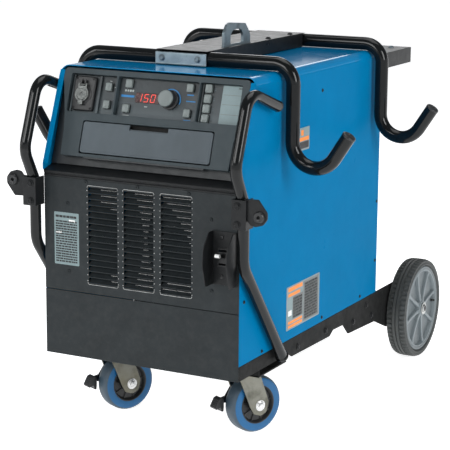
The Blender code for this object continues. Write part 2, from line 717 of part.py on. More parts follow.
def make_switch():
    axis = empty("switch_axis", at(SWITCH_X, 0.002, SWITCH_Z))
    rocker = [(0.0075, -0.0135), (0.0075, 0.0135), (-0.0085, 0.0125), (-0.0085, -0.0125)]
    lever = [(0.0, -0.0030), (0.0, 0.0070), (-0.0340, 0.0130), (-0.0360, 0.0080), (-0.0330, 0.0050)]
    switch = sheet("power_switch", rocker, 0.0200, ALONG_SIDE, (0, 0, 0), "black_plastic", axis)
    join(switch, sheet("lever", lever, 0.0110, ALONG_SIDE, (0, 0, 0), "black_plastic", axis))

    base = block("switch_guard", (GUARD_X - GUARD_HALF, -0.0023, GUARD_LOW_Z),
                 (GUARD_X + GUARD_HALF, -GAP, GUARD_HIGH_Z), "black_paint")
    fin = rounded(
        [(-0.0008, GUARD_HIGH_Z - 0.0005), (-0.020, GUARD_HIGH_Z - 0.0005), (-0.046, 0.300), (-0.050, 0.262),
         (-0.036, GUARD_LOW_Z + 0.0005), (-0.0008, GUARD_LOW_Z + 0.0005)],
        [0, 0.006, 0.030, 0.030, 0.006, 0], steps=3,
    )
    fins = [
        sheet(f"guard_fin_{side}", fin, SHEET, ALONG_SIDE, (GUARD_X + side * (GUARD_HALF - 0.0014), 0, 0), "black_paint")
        for side in (-1, 1)
    ]
    join(base, *fins)
    hole = block("guard_hole", (SWITCH_X - 0.0112, -0.01, SWITCH_Z - 0.017),
                 (SWITCH_X + 0.0112, 0.01, SWITCH_Z + 0.017), "black_paint")
    cut(base, hole)


# --- tubes and their brackets ---------------------------------------------------------------


def hanger_path(y):
    """Hook end, hook, leg and top bend of one side, then the same mirrored."""
    hook_x = HANGER_LEG_X + HOOK_RADIUS
    bend_x, bend_z = HANGER_LEG_X - HANGER_BEND, HANGER_Z - HANGER_BEND
    outward, upward = math.cos(HOOK_END_ANGLE), math.sin(HOOK_END_ANGLE)
    end_x = hook_x + outward * HOOK_RADIUS + upward * HOOK_STRAIGHT
    end_z = HOOK_CENTRE_Z - upward * HOOK_RADIUS + outward * HOOK_STRAIGHT
    side = [(end_x, end_z)]
    for step in range(9):
        angle = -HOOK_END_ANGLE - step / 8 * (math.pi - HOOK_END_ANGLE)
        side.append((hook_x + HOOK_RADIUS * math.cos(angle), HOOK_CENTRE_Z + HOOK_RADIUS * math.sin(angle)))
    for step in range(7):
        angle = step / 6 * math.pi / 2
        side.append((bend_x + HANGER_BEND * math.cos(angle), bend_z + HANGER_BEND * math.sin(angle)))
    right = [(x, y, z) for x, z in side]
    left = [(-x, y, z) for x, z in reversed(side)]
    return right + left


def handle_path(side):
    """Up from the rail, straight past the clamp, forward, back along the lean and over the top."""
    corners = [(0.185, 0.012), (-0.012, 0.262), (-0.012, 0.398), (-0.053, 0.474), (0.0066, 0.6320), (0.145, 0.5855)]
    radii = [0, 0.060, 0.050, 0.050, 0.044, 0]
    return [(side * HANDLE_X, y, z) for y, z in rounded(corners, radii, closed=False, steps=5)]


def clamp_block(name, side, across, back, half_height):
    """A box about the handle's axis at the clamp. across runs outboard, whichever the side."""
    x0, x1 = sorted(side * (HANDLE_X + value) for value in across)
    low = (x0, back[0], CLAMP_Z - half_height)
    high = (x1, back[1], CLAMP_Z + half_height)
    return block(name, low, high, "black_paint")


def make_handle_clamp(side, name):
    """A saddle over the handle's front with a lobed ear outboard. Both sides share one shape, half a turn apart."""
    ear = [(0.0100, 0.0230), (0.0435, 0.0250), (0.0645, -0.0020), (0.0645, -0.0160), (0.0545, -0.0290),
           (0.0375, -0.0340), (0.0255, -0.0320), (0.0190, -0.0240), (0.0100, -0.0230)]
    radii = [0.001, 0.004, 0.010, 0.012, 0.012, 0.010, 0.006, 0.003, 0.001]
    outline = rounded([(side * x, side * z) for x, z in ear], radii, steps=3)
    middle = (side * HANDLE_X, -0.028, CLAMP_Z + 0.011)
    plate = sheet(f"handle_clamp_{name}", outline, 0.004, ACROSS, middle, "black_paint")
    saddle = clamp_block(f"saddle_{name}", side, (-0.0165, 0.0175), (-0.0360, -0.0004), 0.0322)
    seat = clamp_block(f"seat_{name}", side, (-0.0132, 0.0132), (-0.0330, 0.0100), 0.0400)
    join(plate, saddle)
    cut(plate, seat)


def make_top_channel():
    """An upturned tray over the two hangers, notched round their tubes and slotted for the lifting eye."""
    channel = tray("top_channel", (-0.0660, 0.1902, 0.6545), (0.0640, 0.7000, 0.6878), 0.0020, "black_paint", -1)
    front = block("front_notch", (-0.20, 0.1700, 0.640), (0.20, FRONT_HANGER_Y + 0.018, 0.6862), "zinc")
    rear = block("rear_notch", (-0.20, REAR_HANGER_Y - 0.018, 0.640), (0.20, 0.7200, 0.6862), "zinc")
    slot = block("eye_slot", (0.0470, 0.2890, 0.660), (0.0550, 0.4235, 0.700), "zinc")
    cut(channel, front, rear, slot)


def make_lifting_eye():
    corners = [(0.2910, 0.6535), (0.2910, 0.7200), (0.3045, 0.7373), (0.3195, 0.7420), (0.3970, 0.7350),
               (0.4120, 0.7196), (0.4215, 0.7048), (0.4215, 0.6535)]
    radii = [0, 0.006, 0.006, 0.008, 0.008, 0.008, 0.008, 0]
    eye = sheet("lifting_eye", rounded(corners, radii, steps=2), 0.006, ALONG_SIDE, (0.0510, 0, 0), "zinc")
    opening = rounded([(0.3220, 0.6920), (0.3845, 0.6920), (0.3845, 0.7240), (0.3220, 0.7240)],
                      [0.004, 0.004, 0.020, 0.020], steps=4)
    cut(eye, sheet("eye_hole", opening, 0.03, ALONG_SIDE, (0.0510, 0, 0), "zinc"))


def yoke(name, inset, low, high):
    """The bottle bracket's outline, that far inside its edge, between two heights."""
    near, far, half = 0.7605 + inset, 0.9850 - inset, 0.2350 - inset
    bottle = BOTTLE_RADIUS + 0.012 + inset
    steps = [step / 12 * math.pi for step in range(13)]
    arc = [(bottle * math.cos(angle), BOTTLE_Y - bottle * math.sin(angle)) for angle in steps]
    outline = [(-half, near), (half, near), (half, far), (bottle, far)] + arc + [(-bottle, far), (-half, far)]
    return sheet(name, outline, high - low, LEVEL, (0, 0, (low + high) / 2), "black_paint")


def make_bottle_bracket():
    """The yoke behind the cabinet's top that steadies a gas bottle standing on the tray."""
    thickness = 0.003
    bracket = yoke("bottle_bracket", 0, 0.597, 0.636)
    cut(bracket, yoke("hollow", thickness, 0.580, 0.636 - thickness))


def make_tubes():
    for name, y in (("front_cable_hanger", FRONT_HANGER_Y), ("rear_cable_hanger", REAR_HANGER_Y)):
        tube(name, hanger_path(y), HANGER_TUBE, "black_paint")
    for side, name in ((1, "right"), (-1, "left")):
        tube(f"push_handle_{name}", handle_path(side), HANDLE_TUBE, "black_paint")
        make_handle_clamp(side, name)
    bar_back = FRONT_HANGER_Y - HANGER_TUBE - GAP
    block("hanger_clamp", (-0.0660, bar_back - 0.004, 0.6565), (0.0640, bar_back, 0.6815), "zinc")
    make_top_channel()
    make_lifting_eye()
    make_bottle_bracket()


# --- rear and inside ------------------------------------------------------------------------


def make_fan():
    rotor = rod("fan_rotor", (0, 0.720, FAN_Z), 0.034, 0.036, "Y", "black_plastic")
    blades = []
    for number in range(5):
        blade = block(f"blade_{number}", (0.0, 0.0, 0.0), (0.046, 0.002, 0.080), "black_plastic")
        blade.data.transform(Matrix.Rotation(math.radians(28), 4, "Z"))
        blade.data.transform(Matrix.Translation((0, 0, 0.068)))
        blade.data.transform(Matrix.Rotation(number * math.tau / 5, 4, "Y"))
        blade.location = at(0, 0.720, FAN_Z)
        blades.append(blade)
    join(rotor, *blades)
    motor = rod("fan_motor", (0, 0.6665, FAN_Z), 0.042, 0.060, "Y", "zinc")
    bar = block("motor_bar", (-0.150, 0.690, FAN_Z - 0.012), (0.150, 0.694, FAN_Z + 0.012), "zinc")
    legs = [
        block(f"motor_leg_{side}", (side * 0.145 - 0.005, 0.691, FAN_Z - 0.012),
              (side * 0.145 + 0.005, DEPTH - 0.0028, FAN_Z + 0.012), "zinc")
        for side in (-1, 1)
    ]
    join(motor, bar, *legs)


def heatsink_outline(fins=9, pitch=0.022, fin=0.005, base=0.012, height=0.070):
    """A comb: a base plate with upright fins."""
    points = [(0, 0), ((fins - 1) * pitch + fin, 0)]
    for number in reversed(range(fins)):
        left = number * pitch
        points += [(left + fin, height), (left, height)]
        if number:
            points += [(left, base), (left - pitch + fin, base)]
    return points


def make_inside():
    core = block("main_transformer", (-0.155, 0.330, 0.0065), (0.045, 0.430, 0.2000), "core_steel")
    coil = bevel(block("coils", (-0.125, 0.275, 0.045), (0.015, 0.485, 0.165), "copper"), 0.015, 2)
    join(core, coil)
    floor = SHELF_Z + SHEET + GAP
    sheet("heatsink", heatsink_outline(), 0.360, ACROSS, (-0.090, 0.340, floor), "aluminium")
    make_fan()


def make_rear_fittings():
    stud = [
        (0.0005, 0.046), (0.0060, 0.046), (0.0060, 0.016), (0.0160, 0.016),
        (0.0160, 0.010), (0.0230, 0.008), (0.0240, 0.0003), (0.0005, 0.0003),
    ]
    for name, x in (("positive_terminal", -0.185), ("negative_terminal", -0.130)):
        terminal = turned(name, stud, (x, DEPTH - 0.0005, TERMINAL_Z), "Y", "copper", steps=20)
        terminal.rotation_euler = (-math.pi / 2, 0, 0)
    gland = [
        (0.0110, 0.034), (0.0150, 0.034), (0.0170, 0.028), (0.0170, 0.012),
        (0.0210, 0.011), (0.0210, 0.0003), (0.0110, 0.0003),
    ]
    inlet = turned("cable_gland", gland, (GLAND_X, DEPTH - 0.0005, TERMINAL_Z), "Y", "black_plastic", steps=20)
    inlet.rotation_euler = (-math.pi / 2, 0, 0)


clear_scene()
PARTS = new_collection(NAME)
CUTTERS = new_collection("cutters", hidden=True)
make_base_frame()
make_bottle_tray()
make_rear_axle()
make_rear_wheels()
for caster_side, caster_name in ((1, "right"), (-1, "left")):
    make_caster(caster_side, caster_name)
make_cabinet()
make_controls()
make_switch()
make_tubes()
make_inside()
make_rear_fittings()
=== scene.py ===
"""The looks of a MIG welding power source on its cart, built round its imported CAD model.

Lengths named y run back from the front panel's face, and lengths named z run up from that
panel's bottom edge. at() turns them into the frame of the CAD model. On the leaning control
panel, s runs up along the panel and d runs into the cabinet; on_panel() turns those.
"""

import math
import random

import bmesh
import bpy
from mathutils import Matrix, Vector


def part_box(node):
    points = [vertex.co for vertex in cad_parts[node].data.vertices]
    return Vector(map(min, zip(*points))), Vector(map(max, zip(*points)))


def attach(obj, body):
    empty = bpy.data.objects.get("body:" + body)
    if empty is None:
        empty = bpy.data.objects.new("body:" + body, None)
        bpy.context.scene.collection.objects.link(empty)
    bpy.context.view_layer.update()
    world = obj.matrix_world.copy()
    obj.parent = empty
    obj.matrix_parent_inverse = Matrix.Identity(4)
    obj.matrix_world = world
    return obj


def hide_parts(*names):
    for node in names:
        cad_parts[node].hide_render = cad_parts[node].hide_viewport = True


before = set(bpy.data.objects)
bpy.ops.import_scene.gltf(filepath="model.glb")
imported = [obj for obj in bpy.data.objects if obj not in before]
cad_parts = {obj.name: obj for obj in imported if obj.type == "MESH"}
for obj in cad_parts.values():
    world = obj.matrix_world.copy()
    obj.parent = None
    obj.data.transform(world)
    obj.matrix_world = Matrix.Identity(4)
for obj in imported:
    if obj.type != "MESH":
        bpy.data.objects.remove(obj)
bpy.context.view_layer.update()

FRONT_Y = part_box("lower_front_plate")[0].y
BASE_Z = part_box("lower_front_plate")[0].z

# Cabinet
HALF_WIDTH = 0.2475
DEPTH = 0.759
TOP_Z = 0.653
SHEET = 0.002
CORNER = 0.022
BLUE_BOTTOM_Z = 0.034
SEAM_Z = 0.151
LIP_Z = 0.4205

# Control panel
PANEL_Y = 0.0136
PANEL_Z = 0.459
PANEL_LEAN = math.radians(18)
POCKET_LOW = 0.099
POCKET_HIGH = 0.186
POCKET_DEPTH = 0.016
OVERLAY_FRONT = 0.0135
DOOR_HALF = 0.165
KNOB_X = 0.039
KNOB_S = 0.1435
RECEPTACLE_X = -0.18
RECEPTACLE_S = 0.14

# Louvred panel and power switch
LOUVRE_COLUMNS = (-0.0935, -0.0015, 0.093)
LOUVRE_WIDTH = 0.077
LOUVRE_LOW_Z = 0.18
LOUVRE_PITCH = 0.0137
LOUVRE_ROWS = 16
LOUVRE_SLOT = 0.005
GUARD_X = 0.213
GUARD_HALF = 0.03
GUARD_LOW_Z = 0.213
GUARD_HIGH_Z = 0.331
SWITCH_X = 0.211
SWITCH_Z = 0.274
SWITCH_OPENING = ((SWITCH_X - 0.0112, -0.01, SWITCH_Z - 0.017), (SWITCH_X + 0.0112, 0.01, SWITCH_Z + 0.017))

# Tubes
HANGER_TUBE = 0.0159
HANGER_Z = 0.6695
HANGER_LEG_X = 0.2705
HANGER_BEND = 0.045
HOOK_RADIUS = 0.055
HOOK_CENTRE_Z = 0.5005
HOOK_END_ANGLE = math.radians(33)
HOOK_STRAIGHT = 0.062
FRONT_HANGER_Y = 0.206
REAR_HANGER_Y = 0.705
HANDLE_TUBE = 0.0127
HANDLE_X = 0.263
CLAMP_Z = 0.378

# On the roof
CHANNEL_LOW = Vector((-0.066, 0.1902, 0.6545))
CHANNEL_HIGH = Vector((0.064, 0.7, 0.6878))
CHANNEL_SHEET = 0.002
EYE_X = 0.051
EYE_THICKNESS = 0.006

# Running gear
RAIL_X = 0.2452
RAIL_SHEET = 0.0035
WHEEL_RADIUS = 0.1295
WHEEL_WIDTH = 0.052
WHEEL_X = 0.277
WHEEL_Y = 0.952
WHEEL_Z = WHEEL_RADIUS - BASE_Z
CASTER_RADIUS = 0.067
CASTER_X = 0.17
CASTER_Y = 0.167
CASTER_TRAIL = 0.032
CASTER_SWING = math.radians(-27)
CASTER_AXLE_Z = CASTER_RADIUS - BASE_Z
CASTER_WIDTH = 0.042
CASTER_BLUE_RADIUS = 0.0628
LEG_X = 0.0275

# Rear
BACK_Y = 0.759
BOTTLE_Y = 0.89
BOTTLE_RADIUS = 0.114
AXLE_END = 0.3095
FAN_Z = 0.465
GLAND_X = 0.165
TERMINAL_Z = 0.12
TERMINALS = {"positive_terminal": -0.185, "negative_terminal": -0.13}

# Camera, solved from the cabinet's corners
CAMERA_PLACE = (1.8418, -3.0899, 1.094)
CAMERA_AZIMUTH = math.radians(27.8)
CAMERA_ELEVATION = math.radians(12.1)
CAMERA_ROLL = math.radians(0.4)
CAMERA_LENS = 134.4

PANEL = Matrix.Translation((0, FRONT_Y + PANEL_Y, BASE_Z + PANEL_Z)) @ Matrix.Rotation(-PANEL_LEAN, 4, "X")


# --- places -------------------------------------------------------------------------------


def at(x, y, z):
    """A point of the cabinet's frame in the CAD model's frame."""
    return Vector((x, FRONT_Y + y, BASE_Z + z))


def on_panel(x, d, s):
    """A point of the leaning control panel."""
    return PANEL @ Vector((x, d, s))


def side_on(u, v, t):
    """Outlines drawn in y and z, with their thickness across."""
    return at(t, u, v)


def face_on(u, v, t):
    """Outlines drawn in x and z, with their thickness running back."""
    return at(u, t, v)


def flat_on(u, v, t):
    """Outlines drawn in x and y, with their thickness running up."""
    return at(u, v, t)


def panel_on(u, v, t):
    """Outlines drawn in x and s, with their thickness running into the panel."""
    return on_panel(u, t, v)


def caster_place(side):
    """The frame that turns with a caster: its own y points back along the trail."""
    middle = at(side * CASTER_X, CASTER_Y, 0)
    return Matrix.Translation(middle) @ Matrix.Rotation(CASTER_SWING, 4, "Z")


def facing(point, direction):
    """The matrix whose Z runs along the direction, at the point."""
    turn = Vector(direction).to_track_quat("Z", "Y").to_matrix().to_4x4()
    return Matrix.Translation(point) @ turn


def axle_at(place, point):
    """The matrix whose Z runs across the machine, at a point of the place's frame."""
    return place @ Matrix.Translation(point) @ Matrix.Rotation(math.pi / 2, 4, "Y")


# --- shapes -------------------------------------------------------------------------------


def rounded(corners, radii, closed=True, steps=5):
    """The path through the corners, each of them an arc of its own radius."""
    points = [Vector(corner) for corner in corners]
    if not isinstance(radii, (list, tuple)):
        radii = [radii] * len(points)
    path = []
    for i, (corner, radius) in enumerate(zip(points, radii)):
        if radius == 0 or (not closed and i in (0, len(points) - 1)):
            path.append(corner)
            continue
        before = (points[i - 1] - corner).normalized()
        after = (points[(i + 1) % len(points)] - corner).normalized()
        angle = before.angle(after)
        centre = corner + (before + after).normalized() * radius / math.sin(angle / 2)
        reach = radius / math.tan(angle / 2)
        first = corner + before * reach - centre
        last = corner + after * reach - centre
        turn = math.pi - angle
        for step in range(steps + 1):
            t = step / steps
            path.append(
                centre
                + first * math.sin((1 - t) * turn) / math.sin(turn)
                + last * math.sin(t * turn) / math.sin(turn)
            )
    return path


def rectangle(low, high, radius=0.0, steps=4):
    (x0, y0), (x1, y1) = low, high
    corners = [(x0, y0), (x1, y0), (x1, y1), (x0, y1)]
    return rounded(corners, radius, steps=steps) if radius else [Vector(c) for c in corners]


def paint(faces, index):
    for face in faces:
        face.material_index = index
    return faces


def prism(bm, outline, depths, place):
    """A flat outline between two depths, put in place point by point."""
    near, far = (
        [bm.verts.new(place(point[0], point[1], depth)) for point in outline] for depth in depths
    )
    faces = [bm.faces.new(near), bm.faces.new(far[::-1])]
    count = len(near)
    for i in range(count):
        j = (i + 1) % count
        faces.append(bm.faces.new((near[i], far[i], far[j], near[j])))
    return faces


def box(bm, low, high, place=at):
    """A box between two corners."""
    def lifted(u, v, t):
        return place(u, t, v)
    return prism(bm, rectangle((low[0], low[2]), (high[0], high[2])), (low[1], high[1]), lifted)


def boxes(*corners):
    """A new mesh of boxes, each given by its two corners."""
    bm = bmesh.new()
    for low, high in corners:
        box(bm, low, high)
    return bm


def lathe(bm, profile, matrix, steps=48, closed=False):
    """A (radius, height) profile turned about the matrix's Z."""
    rings = []
    for radius, height in profile:
        if radius < 1e-6:
            rings.append([bm.verts.new(matrix @ Vector((0, 0, height)))])
            continue
        turn = [i / steps * math.tau for i in range(steps)]
        rings.append([
            bm.verts.new(matrix @ Vector((radius * math.cos(a), radius * math.sin(a), height)))
            for a in turn
        ])
    faces = []
    pairs = list(zip(rings, rings[1:]))
    if closed:
        pairs.append((rings[-1], rings[0]))
    for first, second in pairs:
        for i in range(steps):
            j = (i + 1) % steps
            corners = [first[i % len(first)], first[j % len(first)],
                       second[j % len(second)], second[i % len(second)]]
            corners = list(dict.fromkeys(corners))
            if len(corners) > 2:
                faces.append(bm.faces.new(corners))
    return faces


def sweep(bm, path, radius, sides=24, ends=True):
    """A round tube along a path, closed with slightly domed ends."""
    points = [Vector(point) for point in path]
    tangents = []
    for i in range(len(points)):
        ahead = points[min(i + 1, len(points) - 1)] - points[max(i - 1, 0)]
        tangents.append(ahead.normalized())
    normal = tangents[0].orthogonal().normalized()
    rings = []

    def ring(centre, tangent, size):
        across = tangent.cross(normal)
        return [
            bm.verts.new(centre + (normal * math.cos(a) + across * math.sin(a)) * size)
            for a in (i / sides * math.tau for i in range(sides))
        ]

    if ends:
        rings.append(ring(points[0] - tangents[0] * 0.0006, tangents[0], radius * 0.86))
    for i, (centre, tangent) in enumerate(zip(points, tangents)):
        if i:
            normal = tangents[i - 1].rotation_difference(tangent) @ normal
        normal = (normal - tangent * normal.dot(tangent)).normalized()
        rings.append(ring(centre, tangent, radius))
    if ends:
        rings.append(ring(points[-1] + tangents[-1] * 0.0006, tangents[-1], radius * 0.86))
    faces = []
    for first, second in zip(rings, rings[1:]):
        for i in range(sides):
            j = (i + 1) % sides
            faces.append(bm.faces.new((first[i], first[j], second[j], second[i])))
    faces.append(bm.faces.new(rings[0][::-1]))
    faces.append(bm.faces.new(rings[-1]))
    return faces


def cut_away(bm, cutter):
    """The first mesh with the second cut out of it, by the exact Boolean."""
    objects = []
    for name, source in (("kept", bm), ("cutter", cutter)):
        bmesh.ops.recalc_face_normals(source, faces=source.faces)
        mesh = bpy.data.meshes.new(name)
        source.to_mesh(mesh)
        source.free()
        obj = bpy.data.objects.new(name, mesh)
        bpy.context.scene.collection.objects.link(obj)
        objects.append(obj)
    kept, tool = objects
    modifier = kept.modifiers.new("cut", "BOOLEAN")
    modifier.operation = "DIFFERENCE"
    modifier.solver = "EXACT"
    modifier.object = tool
    bpy.context.view_layer.update()
    graph = bpy.context.evaluated_depsgraph_get()
    mesh = bpy.data.meshes.new_from_object(kept.evaluated_get(graph))
    result = bmesh.new()
    result.from_mesh(mesh)
    bmesh.ops.remove_doubles(result, verts=result.verts, dist=1e-6)
    for obj in objects:
        bpy.data.objects.remove(obj)
    return result


def piece(name, bm, looks, body="cabinet", replaces=(), bevel=0.0, segments=2, angle=35):
    """The mesh as a finished piece: painted, smoothed, riding on its body."""
    looks = [looks] if isinstance(looks, str) else looks
    bmesh.ops.recalc_face_normals(bm, faces=bm.faces)
    mesh = bpy.data.meshes.new(name)
    bm.to_mesh(mesh)
    bm.free()
    for look in looks:
        mesh.materials.append(material(look))
    mesh.shade_smooth()
    obj = bpy.data.objects.new(name, mesh)
    bpy.context.scene.collection.objects.link(obj)
    if bevel:
        edge = obj.modifiers.new("bevel", "BEVEL")
        edge.width = bevel
        edge.segments = segments
        edge.limit_method = "ANGLE"
        edge.angle_limit = math.radians(angle)
        edge.use_clamp_overlap = True
        weighted = obj.modifiers.new("normals", "WEIGHTED_NORMAL")
        weighted.keep_sharp = True
        weighted.weight = 80
    else:
        mesh.set_sharp_from_angle(angle=math.radians(angle))
    if replaces:
        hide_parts(*replaces)
    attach(obj, body)
    return obj


def screw(bm, point, direction, radius=0.0045, height=0.0024, index=0):
    """A pan head with a round driver socket."""
    profile = [
        (0, height * 0.35), (radius * 0.34, height * 0.35), (radius * 0.38, height),
        (radius * 0.62, height * 0.96), (radius * 0.86, height * 0.66), (radius, height * 0.18),
        (radius, -0.0005), (0, -0.0005),
    ]
    return paint(lathe(bm, profile, facing(point, direction), steps=16), index)


def hex_bolt(bm, point, direction, radius=0.0075, height=0.0055, index=0):
    """A flanged hexagon head."""
    matrix = facing(point, direction)
    flange = [(0, 0.0022), (radius * 1.15, 0.0022), (radius * 1.35, 0.0012), (radius * 1.38, -0.0005),
              (0, -0.0005)]
    head = [(0, height * 0.82), (radius * 0.5, height * 0.82), (radius * 0.62, height),
            (radius * 0.86, height), (radius, height * 0.86), (radius, 0.001), (0, 0.001)]
    paint(lathe(bm, flange, matrix, steps=24), index)
    return paint(lathe(bm, head, matrix, steps=6), index)


# --- materials ----------------------------------------------------------------------------


class Surface:
    """One material's node tree, with short ways to add what most surfaces use."""

    def __init__(self, name):
        self.material = bpy.data.materials.new(name)
        self.material.use_nodes = True
        self.tree = self.material.node_tree
        self.tree.nodes.clear()
        self.output = self.add("ShaderNodeOutputMaterial")
        self.place = self.add("ShaderNodeTexCoord").outputs["Object"]

    def add(self, kind, **settings):
        node = self.tree.nodes.new(kind)
        for key, value in settings.items():
            setattr(node, key, value)
        return node

    def put(self, socket, value):
        """A link where the value is another node's output, and else a plain setting."""
        if isinstance(value, bpy.types.NodeSocket):
            self.tree.links.new(value, socket)
        else:
            socket.default_value = value

    def stretched(self, stretch):
        node = self.add("ShaderNodeMapping")
        self.put(node.inputs["Vector"], self.place)
        node.inputs["Scale"].default_value = stretch
        return node.outputs[0]

    def noise(self, scale, detail=3.0, rough=0.5, stretch=None):
        node = self.add("ShaderNodeTexNoise")
        self.put(node.inputs["Vector"], self.stretched(stretch) if stretch else self.place)
        node.inputs["Scale"].default_value = scale
        node.inputs["Detail"].default_value = detail
        node.inputs["Roughness"].default_value = rough
        return node.outputs["Fac"]

    def cells(self, scale):
        node = self.add("ShaderNodeTexVoronoi")
        self.put(node.inputs["Vector"], self.place)
        node.inputs["Scale"].default_value = scale
        return node.outputs["Distance"]

    def ramp(self, source, *stops):
        node = self.add("ShaderNodeValToRGB")
        self.put(node.inputs[0], source)
        elements = node.color_ramp.elements
        while len(elements) < len(stops):
            elements.new(0.5)
        for element, (position, colour) in zip(elements, stops):
            element.position = position
            element.color = (*colour, 1)
        return node.outputs[0]

    def spread(self, source, low, high, start=0.3, end=0.7):
        node = self.add("ShaderNodeMapRange")
        self.put(node.inputs["Value"], source)
        node.inputs["From Min"].default_value = start
        node.inputs["From Max"].default_value = end
        node.inputs["To Min"].default_value = low
        node.inputs["To Max"].default_value = high
        return node.outputs[0]

    def blend(self, factor, first, second):
        node = self.add("ShaderNodeMix", data_type="RGBA")
        self.put(node.inputs[0], factor)
        self.put(node.inputs[6], first)
        self.put(node.inputs[7], second)
        return node.outputs[2]

    def bump(self, height, distance, strength=1.0, under=None):
        node = self.add("ShaderNodeBump")
        node.inputs["Strength"].default_value = strength
        node.inputs["Distance"].default_value = distance
        self.put(node.inputs["Height"], height)
        if under:
            self.put(node.inputs["Normal"], under)
        return node.outputs[0]

    def coat(self, colour, roughness, normal=None, **values):
        """The shader itself. Values are named after its sockets, with _ for a space."""
        shader = self.add("ShaderNodeBsdfPrincipled")
        self.put(shader.inputs["Base Color"], colour)
        self.put(shader.inputs["Roughness"], roughness)
        if normal:
            self.put(shader.inputs["Normal"], normal)
        for key, value in values.items():
            self.put(shader.inputs[key.replace("_", " ")], value)
        self.tree.links.new(shader.outputs[0], self.output.inputs["Surface"])
        return self.material


def grey(level):
    return (level, level, level)


def tinted(colour, factor):
    return tuple(channel * factor for channel in colour)


def powder_coat(name, colour, rough, peel, peel_scale, shine, dust=0.02, spread=0.12):
    """Sprayed paint: an orange-peel bump, slight mottling and a little dust in the noise."""
    s = Surface(name)
    mottle = s.noise(14, 4, 0.6)
    base = s.ramp(mottle, (0.3, tinted(colour, 1 - spread)), (0.7, tinted(colour, 1 + spread)))
    grime = s.spread(s.noise(60, 5, 0.7), 0, dust, 0.45, 0.75)
    dusty = s.blend(grime, base, (0.42, 0.42, 0.4, 1))
    roughness = s.spread(s.noise(35, 4, 0.6), rough * 0.8, rough * 1.25)
    fine = s.bump(s.noise(peel_scale, 2, 0.5), peel)
    waves = s.bump(s.noise(22, 2, 0.4), 0.0006, 0.35, fine)
    return s.coat(dusty, roughness, waves, Specular_IOR_Level=shine)


def moulded(name, colour, rough, shine=0.4, grain=0.00006):
    """Injection-moulded plastic: an eroded grain with faint flow marks."""
    s = Surface(name)
    flow = s.noise(24, 3, 0.55, (1, 1, 0.4))
    base = s.ramp(flow, (0.3, tinted(colour, 0.92)), (0.7, tinted(colour, 1.08)))
    roughness = s.spread(s.noise(80, 3), rough * 0.85, rough * 1.15)
    grained = s.bump(s.cells(900), grain, 0.8)
    return s.coat(base, roughness, s.bump(flow, 0.0004, 0.2, grained), Specular_IOR_Level=shine)


def plated(name, dark, light, rough, scale=30, tint=None):
    """Zinc or nickel plate: cloudy spangle, faint scratches and dull patches."""
    s = Surface(name)
    cloud = s.noise(scale, 5, 0.6)
    base = s.ramp(cloud, (0.25, dark), (0.55, tinted(light, 0.85)), (0.8, light))
    if tint:
        base = s.blend(s.spread(s.noise(16, 4), 0, 0.6, 0.45, 0.7), base, (*tint, 1))
    scratches = s.noise(60, 4, 0.7, (1, 1, 22))
    roughness = s.spread(scratches, rough * 0.75, rough * 1.3)
    normal = s.bump(scratches, 0.00004, 0.6, s.bump(s.cells(260), 0.00003, 0.4))
    return s.coat(base, roughness, normal, Metallic=1.0)


def rubber(name, colour, rough, dust):
    """Rubber: dull, dusty in its low spots and finely pitted."""
    s = Surface(name)
    wear = s.noise(38, 5, 0.65)
    base = s.ramp(wear, (0.3, tinted(colour, 0.8)), (0.62, colour), (0.8, dust))
    roughness = s.spread(wear, rough * 0.88, min(1.0, rough * 1.12))
    normal = s.bump(s.noise(300, 3, 0.6), 0.00015, 0.8, s.bump(s.noise(50, 3), 0.0005, 0.25))
    return s.coat(base, roughness, normal)


def printed(name, colour, rough=0.42):
    """A printed film: even ink with a faint texture and slight fading."""
    s = Surface(name)
    fade = s.noise(30, 4, 0.6)
    base = s.ramp(fade, (0.3, tinted(colour, 0.92)), (0.7, tinted(colour, 1.06)))
    roughness = s.spread(s.noise(140, 3), rough * 0.85, rough * 1.2)
    return s.coat(base, roughness, s.bump(s.noise(1300, 2), 0.00003, 0.6), Specular_IOR_Level=0.35)


def shade_graded_overlay(name):
    """The control overlay's dark ink with painted shade: darker towards the top, where the pocket's upper
    wall shades it, and paler towards its lower edge.
    """
    s = Surface(name)
    height = s.add("ShaderNodeSeparateXYZ")
    s.put(height.inputs[0], s.place)
    low, high = on_panel(0, 0, POCKET_LOW).z, on_panel(0, 0, POCKET_HIGH).z
    fade = s.spread(height.outputs["Z"], 0, 1, low, high)
    # The dark ink is the overlay's own; its grading from pale at the bottom to dark at the top is painted
    # shade.
    ink = s.ramp(fade, (0.0, (0.07, 0.092, 0.1)), (0.22, (0.04, 0.052, 0.058)), (0.75, (0.021, 0.027, 0.03)))
    cloudy = s.blend(s.spread(s.noise(30, 4, 0.6), 0, 0.14), ink, (0.08, 0.1, 0.11, 1))
    roughness = s.spread(s.noise(140, 3), 0.36, 0.5)
    return s.coat(cloudy, roughness, s.bump(s.noise(1300, 2), 0.00003, 0.6), Specular_IOR_Level=0.35)


def laminated(name):
    s = Surface(name)
    sheets = s.noise(14, 3, 0.6, (1, 90, 1))
    base = s.ramp(sheets, (0.3, (0.05, 0.05, 0.055)), (0.7, (0.2, 0.2, 0.205)))
    return s.coat(base, s.spread(sheets, 0.35, 0.6), s.bump(sheets, 0.0004), Metallic=0.8)


def circuit_board(name):
    s = Surface(name)
    tracks = s.cells(170)
    base = s.ramp(tracks, (0.2, (0.01, 0.1, 0.035)), (0.5, (0.02, 0.17, 0.06)), (0.8, (0.05, 0.22, 0.09)))
    return s.coat(base, s.spread(s.noise(120), 0.25, 0.45), s.bump(tracks, 0.0003, 0.6))


def red_window(name):
    """The red filter over the digits, with faint smears."""
    s = Surface(name)
    smear = s.noise(90, 4, 0.6)
    base = s.ramp(smear, (0.3, (0.028, 0.004, 0.004)), (0.7, (0.05, 0.007, 0.006)))
    return s.coat(base, s.spread(smear, 0.18, 0.32), s.bump(smear, 0.00003, 0.4), Coat_Weight=0.6)


